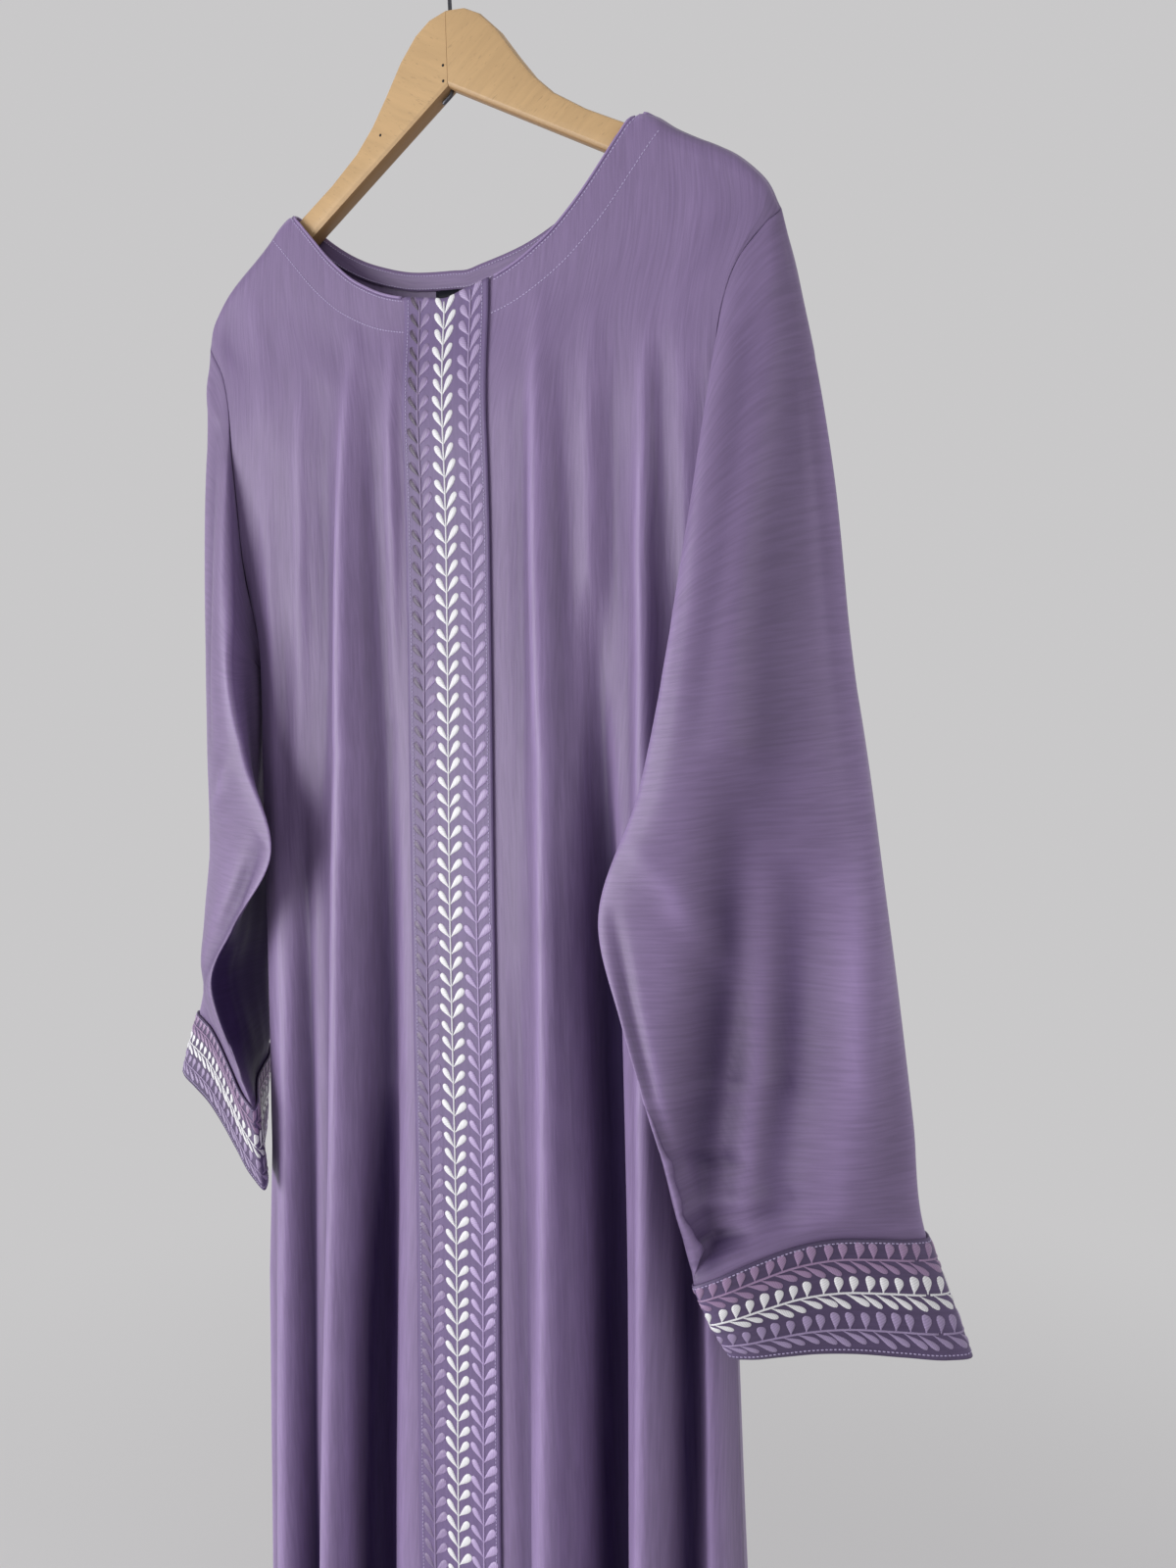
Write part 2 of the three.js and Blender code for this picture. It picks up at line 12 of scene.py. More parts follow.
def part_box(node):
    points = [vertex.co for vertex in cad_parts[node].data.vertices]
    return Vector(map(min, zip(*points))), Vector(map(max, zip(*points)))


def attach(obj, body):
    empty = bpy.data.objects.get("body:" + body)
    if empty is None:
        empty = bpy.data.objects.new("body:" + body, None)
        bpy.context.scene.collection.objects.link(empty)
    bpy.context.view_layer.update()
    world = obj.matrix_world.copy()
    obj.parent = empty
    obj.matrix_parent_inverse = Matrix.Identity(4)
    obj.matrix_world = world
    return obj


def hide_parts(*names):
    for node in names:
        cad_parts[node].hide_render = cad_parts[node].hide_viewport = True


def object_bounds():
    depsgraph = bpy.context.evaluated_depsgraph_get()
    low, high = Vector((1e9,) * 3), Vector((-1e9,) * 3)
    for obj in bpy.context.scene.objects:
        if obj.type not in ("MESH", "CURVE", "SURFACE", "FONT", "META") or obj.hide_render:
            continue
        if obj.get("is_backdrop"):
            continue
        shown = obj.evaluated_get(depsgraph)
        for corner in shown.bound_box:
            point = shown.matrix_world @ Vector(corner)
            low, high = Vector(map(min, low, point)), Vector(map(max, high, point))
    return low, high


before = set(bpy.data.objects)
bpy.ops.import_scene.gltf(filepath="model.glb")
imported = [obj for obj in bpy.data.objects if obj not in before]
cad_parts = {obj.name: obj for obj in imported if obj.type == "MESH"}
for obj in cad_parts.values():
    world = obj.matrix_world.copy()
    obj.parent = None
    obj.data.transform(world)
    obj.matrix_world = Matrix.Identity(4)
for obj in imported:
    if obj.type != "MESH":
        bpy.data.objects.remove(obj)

bl_info = {
    "name": "Hanging embroidered abaya",
    "version": (1, 0, 0),
    "blender": (4, 5, 0),
    "location": "View3D > Sidebar > Abaya",
    "description": "Crepe robe with embroidered bands, sewing and its wooden hanger",
    "category": "Object",
}

CAD_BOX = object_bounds()
MM = 0.001
FRONT, BACK, ROUND = "front", "back", "round"
SHEETS = {}                     # finished cloth surfaces by piece name
PANELS = ("right_front_panel", "left_front_panel", "back_panel")

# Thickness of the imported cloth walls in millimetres, which tells a wall's rim from its faces.
WALLS = {
    "left_front_panel": 1.5, "right_front_panel": 1.5, "back_panel": 1.5,
    "left_sleeve": 1.5, "right_sleeve": 1.5, "front_band": 1.5,
    "left_cuff_band": 1.5, "right_cuff_band": 1.5, "back_neck_strip": 1.1,
}

# The fold attribute, from 0 on a crown through this value on even cloth to 1 in a deep hollow:
# the depth that brings it from there to 1 and more, and how far round a point it looks.
EVEN_FOLD = 0.3
FOLD_DEPTH = 11 * MM
FOLD_REACH = 34 * MM

NECK_HALF = 0.14                # the neck opening's half width, which bounds its edge's sewing
BAND_HALF = 35 * MM             # half the front band's width, under which nothing is sewn
HEM = 20 * MM                   # height of the hem's turning

# How far the body spreads at the wearer's right side: heights below the origin, and distances.
SPREAD = ([0.44, 0.5, 0.86, 0.96], [0, 4 * MM, 3.5 * MM, 7.5 * MM])

# Creases in millimetres: a path of (x, z), how far it rises (a trough is negative) and half its
# width. They fade out at both ends; one that runs on past the hem keeps its height there.
PAST_HEM = -1720
CREASES = {
    ("right_front_panel", FRONT): (
        (((-50, -400), (-60, -650), (-72, -930), (-80, -1180), (-90, PAST_HEM)), -7.5, 9),
        (((-68, -800), (-78, -1000), (-84, -1250), (-92, PAST_HEM)), -11.0, 9),
        (((-80, -300), (-86, -480), (-93, -700), (-104, -1000), (-118, PAST_HEM)), 5.5, 8),
        (((-79, -264), (-84, -380), (-89, -560)), 3.2, 7),
        (((-43, -272), (-46, -390), (-50, -540)), 3.0, 6),
        (((-134, -600), (-139, -900), (-145, -1300), (-150, PAST_HEM)), -11.0, 7),
        (((-126, -276), (-130, -400), (-137, -600)), 2.8, 8),
        (((-61, -300), (-62, -420), (-64, -560)), -2.2, 7),
        (((-104, -300), (-107, -440), (-112, -620)), -2.4, 8),
        (((-152, -340), (-151, -500), (-153, -660)), -2.0, 9),
        (((-150, -700), (-158, -1000), (-170, PAST_HEM)), 4.0, 7),
        (((-172, -840), (-182, -1240), (-190, PAST_HEM)), -5.0, 7),
        (((-180, -215), (-168, -270), (-160, -330)), 1.0, 10),
    ),
    ("left_front_panel", FRONT): (
        (((110, -450), (111, -700), (113, -900), (113, PAST_HEM)), -18.0, 9),
        (((74, -300), (76, -480), (78, -700), (77, PAST_HEM)), 5.0, 7),
        (((71, -262), (73, -380), (75, -560)), 3.4, 7),
        (((90, -310), (92, -430), (95, -600)), -2.4, 7),
        (((158, -310), (158, -420), (158, -560)), -2.6, 7),
        (((149, -290), (147, -500), (146, -760), (141, PAST_HEM)), 5.5, 6),
        (((172, -580), (168, -800), (164, PAST_HEM)), -12.0, 7),
        (((110, -280), (109, -400), (108, -560)), 2.4, 7),
        (((60, -330), (58, -460), (57, -630)), -1.8, 7),
        (((128, -300), (125, -410), (124, -540)), -2.0, 8),
        (((173, -300), (174, -420), (176, -560)), 2.6, 8),
        (((51, -700), (53, -1000), (56, PAST_HEM)), -4.0, 7),
        (((188, -880), (190, -1230), (193, PAST_HEM)), 4.0, 6),
        (((64, -900), (66, -1150), (67, -1440)), 2.0, 5),
        (((184, -216), (170, -275), (161, -340)), 1.0, 10),
    ),
    ("back_panel", BACK): (
        (((-150, -300), (-153, -640), (-157, -1050), (-161, PAST_HEM)), 3.6, 8),
        (((-112, -470), (-114, -760), (-119, -1200), (-123, PAST_HEM)), -10.5, 9),
        (((-67, -290), (-69, -560), (-74, -1000), (-80, PAST_HEM)), 3.2, 9),
        (((-28, -560), (-30, -860), (-32, -1240), (-35, PAST_HEM)), -9.5, 8),
        (((23, -330), (22, -700), (21, -1100), (20, PAST_HEM)), 3.0, 9),
        (((61, -600), (62, -920), (64, -1300), (64, PAST_HEM)), -10.0, 8),
        (((105, -270), (106, -560), (110, -1020), (112, PAST_HEM)), 3.8, 8),
        (((151, -540), (154, -900), (158, -1280), (160, PAST_HEM)), -7.0, 8),
        (((-128, -280), (-131, -400), (-134, -540)), 1.8, 8),
        (((-96, -320), (-95, -450), (-92, -610)), -2.0, 8),
        (((-18, -290), (-14, -420), (-12, -560)), 1.5, 9),
        (((52, -300), (56, -400), (55, -520)), -1.7, 8),
        (((133, -330), (130, -470), (131, -620)), 2.2, 7),
        (((172, -360), (170, -540), (173, -720)), -2.2, 9),
        (((-178, -700), (-184, -1100), (-190, PAST_HEM)), -4.0, 7),
    ),
    ("left_sleeve", FRONT): (
        (((250, -330), (244, -430), (242, -540), (242, -640), (238, -740)), -9.0, 20),
        (((220, -560), (210, -680), (204, -780), (206, -960)), -21.0, 21),
        (((250, -620), (244, -730), (238, -800), (236, -960)), -11.0, 14),
        (((278, -640), (273, -740), (266, -860)), 4.0, 10),
        (((286, -560), (286, -700), (276, -860)), 2.6, 12),
        (((272, -380), (276, -560), (280, -740), (286, -880)), 2.6, 8),
        (((160, -762), (196, -757), (244, -752)), 3.4, 6),
        (((164, -800), (190, -796), (226, -800)), -3.6, 6),
        (((172, -832), (204, -822), (246, -816)), 4.2, 5.5),
        (((176, -853), (206, -846), (236, -840)), -3.6, 5),
        (((143, -650), (156, -705), (181, -794)), -3.4, 4.5),
        (((208, -296), (190, -400), (164, -520)), 2.6, 13),
        (((218, -292), (212, -420), (196, -560)), -2.4, 10),
        (((150, -610), (182, -640), (214, -700)), 2.6, 9),
        (((238, -262), (228, -290), (210, -316)), 1.8, 7),
    ),
    ("left_sleeve", BACK): (
        (((252, -330), (256, -520), (266, -700), (276, -840)), -9.0, 15),
        (((222, -350), (226, -520), (240, -720)), 3.6, 11),
        (((214, -640), (244, -652), (276, -648)), -2.4, 7),
        (((222, -690), (250, -704), (282, -700)), 2.0, 6),
        (((276, -520), (286, -640), (296, -800)), 3.0, 8),
        (((236, -262), (230, -300), (216, -332)), 1.6, 8),
    ),
    ("right_sleeve", FRONT): (
        (((-143, -620), (-174, -664), (-208, -704), (-240, -744)), -7.0, 9),
        (((-160, -668), (-176, -724), (-186, -800)), -6.0, 12),
        (((-214, -310), (-217, -420), (-212, -560)), -4.5, 10),
        (((-232, -330), (-236, -480), (-238, -640)), 2.6, 8),
        (((-192, -340), (-186, -430), (-170, -550)), 3.0, 9),
        (((-176, -560), (-196, -590), (-226, -604)), 2.4, 7),
        (((-236, -262), (-222, -290), (-206, -318)), 1.8, 7),
        (((-228, -700), (-234, -760), (-232, -800)), 2.4, 7),
    ),
    ("right_sleeve", BACK): (
        (((-196, -430), (-197, -520), (-199, -620)), 8.0, 10),
        (((-200, -640), (-203, -740), (-208, -850)), 6.0, 9),
        (((-216, -330), (-222, -500), (-236, -660)), -5.5, 10),
        (((-240, -420), (-246, -560), (-254, -700)), 2.8, 9),
        (((-206, -664), (-230, -676), (-256, -668)), -2.4, 6),
        (((-214, -720), (-240, -728), (-262, -720)), 2.0, 6),
    ),
}

# Painted shade where a sleeve's inner side lies close to the body and sees little light, in
# millimetres: a path of (x, z) and half its width.
PAINTED_SHADE_PATHS = {
    "right_sleeve": (((-176, -640), (-196, -690), (-206, -740), (-204, -800), (-196, -860)), 28),
    "left_sleeve": (((206, -640), (200, -720), (200, -790), (210, -850)), 25),
}


def linear(colour):
    """An sRGB hex colour as linear red, green, blue and alpha."""
    channels = [int(colour[i:i + 2], 16) / 255 for i in (0, 2, 4)]
    return [c / 12.92 if c <= 0.04045 else ((c + 0.055) / 1.055) ** 2.4 for c in channels] + [1.0]


# ---------------------------------------------------------------- settings
def colour_setting(name, description, default):
    """A colour that a user may change, from an sRGB hex value."""
    return bpy.props.FloatVectorProperty(
        name=name, description=description, subtype="COLOR", size=4, default=linear(default))


def length_setting(name, description, default):
    """A length that a user may change, in metres."""
    return bpy.props.FloatProperty(
        name=name, description=description, default=default, unit="LENGTH")


class AbayaCloth(bpy.types.PropertyGroup):
    """Crepe of the fronts, back and sleeves, and the bands' ground cloth."""

    wall: length_setting("Cloth thickness", "Thickness of a sewn crepe wall", 1.1 * MM)
    crinkle: length_setting(
        "Crinkle spacing", "Distance between the crepe's crinkle lines", 2.0 * MM)
    crepe: colour_setting("Crepe colour", "Colour of the body and sleeves", "7F6C93")
    ground: colour_setting("Band colour", "Ground of the embroidered bands", "72608A")
    label: colour_setting("Label colour", "Colour of the blank neck label", "0D0E1C")


class AbayaEmbroidery(bpy.types.PropertyGroup):
    """Leaf vines in satin stitch on the front band and the cuffs, and the sewing stitches."""

    pitch: length_setting(
        "Leaf pitch", "Distance between leaf pairs down the front band", 11.1 * MM)
    leaf: length_setting("Leaf length", "Length of a band leaf with its stalk", 14.2 * MM)
    width: length_setting("Leaf width", "Widest part of a band leaf", 5.3 * MM)
    cuff_pitch: length_setting(
        "Cuff leaf pitch", "Distance between leaf pairs round a cuff", 8.7 * MM)
    relief: length_setting("Thread relief", "How far a leaf stands off the cloth", 0.8 * MM)
    stem: length_setting("Stem width", "Width of a vine's stem", 1.3 * MM)
    stitch: length_setting("Stitch pitch", "Distance between topstitches", 2.5 * MM)
    white: colour_setting("White thread", "Middle vines", "F1F0F4")
    lilac: colour_setting("Lilac thread", "Vine on the wearer's left of the band", "C0ABD8")
    mauve: colour_setting("Mauve thread", "Lighter leaves of the tone-on-tone vine", "9A87AE")
    # Painted shade: the mauve thread as drawn on the tone-on-tone vine's darker leaves near the
    # neck.
    plum: colour_setting("Mauve thread in painted shade", "Darker leaves of the tone-on-tone vine", "43324C")
    pink: colour_setting("Pink mauve thread", "Top vines of the cuffs", "A487AD")
    sewing: colour_setting("Sewing thread", "Topstitches", "C0B2DA")


class AbayaHanger(bpy.types.PropertyGroup):
    """Wooden hanger and its hook."""

    beech: colour_setting("Beech colour", "Lacquered beech", "C4A276")
    grain: length_setting("Grain spacing", "Distance between grain lines", 3.5 * MM)
    steel: colour_setting("Wire colour", "Dark steel wire", "5A5A60")


class AbayaStage(bpy.types.PropertyGroup):
    """Floor, backdrop and lights."""

    paper: colour_setting("Backdrop colour", "Pale backdrop and floor", "DEDDDE")
    drop: length_setting("Floor below hem", "Distance from the hem down to the floor", 0.32)
    near: length_setting(
        "Floor fade start", "Distance from the robe where the floor starts to fade into the "
        "backdrop", 0.5)
    far: length_setting(
        "Floor fade end", "Distance where the floor has become the backdrop", 2.6)
    key: bpy.props.FloatProperty(
        name="Key light", description="Power of the large light, in watts", default=148.0,
        unit="POWER")
    fill: bpy.props.FloatProperty(
        name="Fill light", description="Power of the fill light, in watts", default=12.0,
        unit="POWER")
    sky: bpy.props.FloatProperty(
        name="Backdrop light", description="Strength of the light from behind", default=0.8)
    room: bpy.props.FloatProperty(
        name="Room light", description="Strength of the light from the front", default=0.52)


# ---------------------------------------------------------------- materials
# Sockets of a Mix node for colours: the second one's share, the two colours, and the result.
SHARE, FIRST, SECOND, MIXED = 0, 6, 7, 2

PAINTED_CROWN_HIGHLIGHT = [1.4, 1.42, 1.4, 1.0]      # painted highlight: how much paler the crown of a fold is drawn
PAINTED_FOLD_SHADE = "73698A"                   # painted shade: what the crepe's colour is multiplied by in a deep fold


def add_node(tree, kind, inputs=None, **settings):
    """Adds a node with its settings. Each input is given a value, or an output to link it to."""
    node = tree.nodes.new(kind)
    for name, value in settings.items():
        setattr(node, name, value)
    for name, value in (inputs or {}).items():
        if isinstance(value, bpy.types.NodeSocket):
            tree.links.new(value, node.inputs[name])
        else:
            node.inputs[name].default_value = value
    return node


def new_material(name, inputs):
    """A material with a Principled shader that has these input values."""
    material = bpy.data.materials.new(name)
    material.use_nodes = True
    tree = material.node_tree
    shader = tree.nodes["Principled BSDF"]
    for key, value in inputs.items():
        shader.inputs[key].default_value = value
    return material, tree, shader


def surface(tree, shader, colour, bump):
    """Links a colour and a bump node into a material's shader."""
    tree.links.new(colour.outputs[MIXED], shader.inputs["Base Color"])
    tree.links.new(bump.outputs["Normal"], shader.inputs["Normal"])


def shade(colour, factor):
    """A colour made darker or lighter by a factor."""
    return [min(c * factor, 1.0) for c in colour[:3]] + [1.0]


def grey(level):
    """A neutral colour that darkens what it is multiplied with."""
    return [level] * 3 + [1.0]


def crepe_material(name, colour, crinkle, lengthwise, depth=1.0):
    """Polyester crepe, woven with high-twist yarn and calendered: a satin lustre along each
    fold, broken by fine crinkle lines that run with the warp. The lines are drawn about twice
    their real width, because the real ones are too fine to show. The piece's fold attribute
    paints shade into the colour down in the folds, where the cloth sees mostly more cloth, and
    lowers the gloss there; on the folds' crowns it paints a highlight."""
    material, tree, shader = new_material(name, {
        "Roughness": 0.47, "Sheen Weight": 0.1, "Sheen Roughness": 0.4,
        "Sheen Tint": linear("D2C9E4"), "Specular IOR Level": 0.42, "IOR": 1.5,
    })
    weave = add_node(tree, "ShaderNodeUVMap", uv_map="weave").outputs["UV"]

    def pattern(across, along, detail):
        """Noise on the cloth whose marks are so wide across the warp and so long along it."""
        scale = (1 / across, 1 / along, 1) if lengthwise else (1 / along, 1 / across, 1)
        place = add_node(tree, "ShaderNodeMapping", {"Scale": scale, "Vector": weave})
        return add_node(
            tree, "ShaderNodeTexNoise",
            {"Scale": 1.0, "Detail": detail, "Distortion": 0.3, "Vector": place.outputs[0]},
            noise_dimensions="2D").outputs["Fac"]

    crinkles = pattern(crinkle, 30 * MM, 2.5)
    pebbles = pattern(0.8 * MM, 0.8 * MM, 1.0)
    ripples = pattern(13 * MM, 120 * MM, 1.0)
    dye = pattern(60 * MM, 200 * MM, 2.0)
    fold = add_node(tree, "ShaderNodeAttribute", attribute_name="fold").outputs["Fac"]
    dyed, lined, crown, sunk = (
        add_node(tree, "ShaderNodeMapRange", {"From Min": low, "From Max": high, "Value": value})
        for value, low, high in (
            (dye, 0.3, 0.7), (crinkles, 0.32, 0.68), (fold, EVEN_FOLD, 0), (fold, EVEN_FOLD, 1)))
    tint = add_node(
        tree, "ShaderNodeMix", {SHARE: dyed.outputs[0], FIRST: shade(colour, 0.96),
                                SECOND: shade(colour, 1.05)}, data_type="RGBA")
    lines = add_node(
        tree, "ShaderNodeMix", {SHARE: lined.outputs[0], FIRST: grey(0.86), SECOND: grey(1)},
        data_type="RGBA")
    # Painted highlight on the crowns of the folds, and painted shade down in them.
    crown_highlight = add_node(
        tree, "ShaderNodeMix", {SHARE: crown.outputs[0], FIRST: grey(1), SECOND: PAINTED_CROWN_HIGHLIGHT},
        data_type="RGBA")
    fold_shade = add_node(
        tree, "ShaderNodeMix", {SHARE: sunk.outputs[0], FIRST: crown_highlight.outputs[MIXED],
                                SECOND: linear(PAINTED_FOLD_SHADE)}, data_type="RGBA")
    for layer in (lines, fold_shade):
        tint = add_node(
            tree, "ShaderNodeMix", {SHARE: 1.0, FIRST: tint.outputs[MIXED],
                                    SECOND: layer.outputs[MIXED]},
            data_type="RGBA", blend_type="MULTIPLY")
    # Painted shade on the gloss as well: less specular level and sheen down in the folds.
    for socket, least in (("Specular IOR Level", 0.06), ("Sheen Weight", 0.0)):
        gleam = add_node(
            tree, "ShaderNodeMapRange",
            {"From Min": EVEN_FOLD, "From Max": 1.0, "To Max": least, "Value": fold,
             "To Min": shader.inputs[socket].default_value})
        tree.links.new(gleam.outputs[0], shader.inputs[socket])
    fine = add_node(
        tree, "ShaderNodeMath", {0: pebbles, 1: 0.4, 2: crinkles}, operation="MULTIPLY_ADD")
    crimp = add_node(
        tree, "ShaderNodeBump",
        {"Strength": 0.5 * depth, "Distance": 0.3 * MM, "Height": fine.outputs[0]})
    bump = add_node(
        tree, "ShaderNodeBump",
        {"Strength": 0.2 * depth, "Distance": 1.6 * MM, "Height": ripples,
         "Normal": crimp.outputs["Normal"]})
    surface(tree, shader, tint, bump)
    return material


def thread_material(name, stops, rim=None):
    """Trilobal polyester embroidery thread in satin stitch: close parallel threads that give
    each leaf a silky gleam. Stops are (height, colour) from the top down, a change with height
    being painted light and shade, and rim is a painted highlight along a leaf's right edge."""
    material, tree, shader = new_material(name, {
        "Roughness": 0.4, "Sheen Weight": 0.25, "Sheen Roughness": 0.3,
        "Specular IOR Level": 0.5, "IOR": 1.53,
    })
    thread = add_node(tree, "ShaderNodeUVMap", uv_map="weave").outputs["UV"]
    place = add_node(tree, "ShaderNodeTexCoord").outputs["Object"]
    height = add_node(tree, "ShaderNodeSeparateXYZ", {"Vector": place}).outputs["Z"]
    sideways = add_node(tree, "ShaderNodeSeparateXYZ", {"Vector": thread}).outputs["X"]
    # Painted light and shade that change with height.
    changes = [
        (height, top, low, lower) for (top, _), (low, lower) in zip(stops, stops[1:])]
    # Painted highlight along the leaf's right edge.
    if rim:
        changes.append((sideways, 0.9 * MM, 2.1 * MM, rim))
    colour = stops[0][1]
    for value, start, end, following in changes:
        share = add_node(
            tree, "ShaderNodeMapRange", {"From Min": start, "From Max": end, "Value": value})
        colour = add_node(
            tree, "ShaderNodeMix", {SHARE: share.outputs[0], FIRST: colour, SECOND: following},
            data_type="RGBA").outputs[MIXED]
    stitches = add_node(
        tree, "ShaderNodeTexWave",
        {"Scale": 380.0, "Distortion": 0.8, "Detail": 1.0, "Vector": thread},
        wave_type="BANDS", bands_direction="DIAGONAL").outputs["Fac"]
    grooves = add_node(
        tree, "ShaderNodeMix", {SHARE: stitches, FIRST: grey(0.8), SECOND: grey(1)},
        data_type="RGBA")
    stitched = add_node(
        tree, "ShaderNodeMix", {SHARE: 1.0, FIRST: colour, SECOND: grooves.outputs[MIXED]},
        data_type="RGBA", blend_type="MULTIPLY")
    bump = add_node(
        tree, "ShaderNodeBump", {"Strength": 0.5, "Distance": 0.15 * MM, "Height": stitches})
    surface(tree, shader, stitched, bump)
    return material


def label_material(colour):
    """Damask-woven polyester label, blank: a dense dark satin with a faint horizontal rib."""
    material, tree, shader = new_material("woven_label_satin", {
        "Roughness": 0.55, "Specular IOR Level": 0.2,
    })
    place = add_node(tree, "ShaderNodeTexCoord").outputs["Object"]
    rib = add_node(
        tree, "ShaderNodeTexWave", {"Scale": 420.0, "Distortion": 0.4, "Vector": place},
        wave_type="BANDS", bands_direction="Z").outputs["Fac"]
    ribbed = add_node(
        tree, "ShaderNodeMix", {SHARE: rib, FIRST: shade(colour, 0.8), SECOND: shade(colour, 1.3)},
        data_type="RGBA")
    bump = add_node(
        tree, "ShaderNodeBump", {"Strength": 0.3, "Distance": 0.1 * MM, "Height": rib})
    surface(tree, shader, ribbed, bump)
    return material


def beech_material(name, colour, spacing, slope):
    """Lacquered beech, sawn along each arm: warm straight grain, short faint flecks and the
    soft gloss of clear lacquer, with painted shade that turns the underside browner."""
    material, tree, shader = new_material(name, {
        "Roughness": 0.5, "Specular IOR Level": 0.4, "Coat Weight": 0.12,
        "Coat Roughness": 0.35,
    })
    place = add_node(tree, "ShaderNodeTexCoord").outputs["Object"]
    along = add_node(
        tree, "ShaderNodeMapping", {"Rotation": (0, math.radians(slope), 0), "Vector": place})
    stretched, specks = (
        add_node(tree, "ShaderNodeMapping", {"Scale": scale, "Vector": along.outputs[0]})
        for scale in ((0.12 / spacing, 1 / spacing, 1 / spacing), (180, 1100, 1100)))
    grain = add_node(
        tree, "ShaderNodeTexNoise",
        {"Scale": 0.8, "Detail": 4.0, "Distortion": 0.6, "Vector": stretched.outputs[0]})
    flecks = add_node(
        tree, "ShaderNodeTexNoise", {"Scale": 1.0, "Detail": 1.0, "Vector": specks.outputs[0]})
    fleck = add_node(
        tree, "ShaderNodeMapRange",
        {"From Min": 0.66, "From Max": 0.74, "Value": flecks.outputs["Fac"]})
    # Painted shade: faces that turn downwards are drawn browner.
    turned = add_node(tree, "ShaderNodeNewGeometry").outputs["Normal"]
    upward = add_node(tree, "ShaderNodeSeparateXYZ", {"Vector": turned}).outputs["Z"]
    under = add_node(
        tree, "ShaderNodeMapRange", {"From Min": -0.3, "From Max": -0.75, "Value": upward})
    wood = add_node(
        tree, "ShaderNodeMix",
        {SHARE: grain.outputs["Fac"], FIRST: shade(colour, 0.86), SECOND: shade(colour, 1.12)},
        data_type="RGBA")
    for share, darker in ((fleck, shade(colour, 0.8)), (under, linear("96744F"))):
        wood = add_node(
            tree, "ShaderNodeMix",
            {SHARE: share.outputs[0], FIRST: wood.outputs[MIXED], SECOND: darker},
            data_type="RGBA")
    bump = add_node(
        tree, "ShaderNodeBump",
        {"Strength": 0.25, "Distance": 0.2 * MM, "Height": grain.outputs["Fac"]})
    surface(tree, shader, wood, bump)
    return material


def wire_material(name, colour):
    """Drawn steel wire with a dark oxide finish: fine lines along it and a dull metal gleam."""
    material, tree, shader = new_material(name, {"Metallic": 0.9, "Roughness": 0.38})
    place = add_node(tree, "ShaderNodeTexCoord").outputs["Object"]
    drawn = add_node(tree, "ShaderNodeMapping", {"Scale": (900, 900, 60), "Vector": place})
    marks = add_node(
        tree, "ShaderNodeTexNoise", {"Scale": 1.0, "Vector": drawn.outputs[0]}).outputs["Fac"]
    oxide = add_node(
        tree, "ShaderNodeMix",
        {SHARE: marks, FIRST: shade(colour, 0.7), SECOND: shade(colour, 1.3)}, data_type="RGBA")
    rough = add_node(
        tree, "ShaderNodeMapRange", {"To Min": 0.3, "To Max": 0.48, "Value": marks})
    tree.links.new(oxide.outputs[MIXED], shader.inputs["Base Color"])
    tree.links.new(rough.outputs[0], shader.inputs["Roughness"])
    return material


def room_light(tree, direction, stage):
    """Strength of the soft light that comes from a direction: the backdrop behind the robe is
    lit, and the room in front of it is dimmer."""
    ahead = add_node(tree, "ShaderNodeSeparateXYZ", {"Vector": direction}).outputs["Y"]
    return add_node(
        tree, "ShaderNodeMapRange",
        {"From Min": -0.4, "From Max": 0.4, "To Min": stage.room, "To Max": stage.sky,
         "Value": ahead}, interpolation_type="SMOOTHSTEP").outputs[0]


def paper_material(stage, level):
    """Matte seamless background paper, which fades into the evenly lit backdrop far away."""
    material, tree, shader = new_material("matte_background_paper", {"Roughness": 0.95})
    place = add_node(tree, "ShaderNodeTexCoord").outputs["Object"]
    fibre = add_node(tree, "ShaderNodeTexNoise", {"Scale": 3.0, "Vector": place})
    pulp = add_node(
        tree, "ShaderNodeMix",
        {SHARE: fibre.outputs["Fac"], FIRST: shade(stage.paper, 0.985),
         SECOND: shade(stage.paper, 1.01)}, data_type="RGBA")
    tree.links.new(pulp.outputs[MIXED], shader.inputs["Base Color"])
    away = add_node(
        tree, "ShaderNodeVectorMath", {0: place, 1: (0, 0, level)}, operation="DISTANCE")
    share = add_node(
        tree, "ShaderNodeMapRange",
        {"From Min": stage.near, "From Max": stage.far, "Value": away.outputs["Value"]},
        interpolation_type="SMOOTHSTEP")
    outward = add_node(tree, "ShaderNodeVectorMath", {0: place}, operation="NORMALIZE")
    glow = add_node(
        tree, "ShaderNodeEmission",
        {"Color": list(stage.paper), "Strength": room_light(tree, outward.outputs[0], stage)})
    both = add_node(
        tree, "ShaderNodeMixShader",
        {0: share.outputs[0], 1: shader.outputs[0], 2: glow.outputs[0]})
    tree.links.new(both.outputs[0], tree.nodes["Material Output"].inputs["Surface"])
    return material


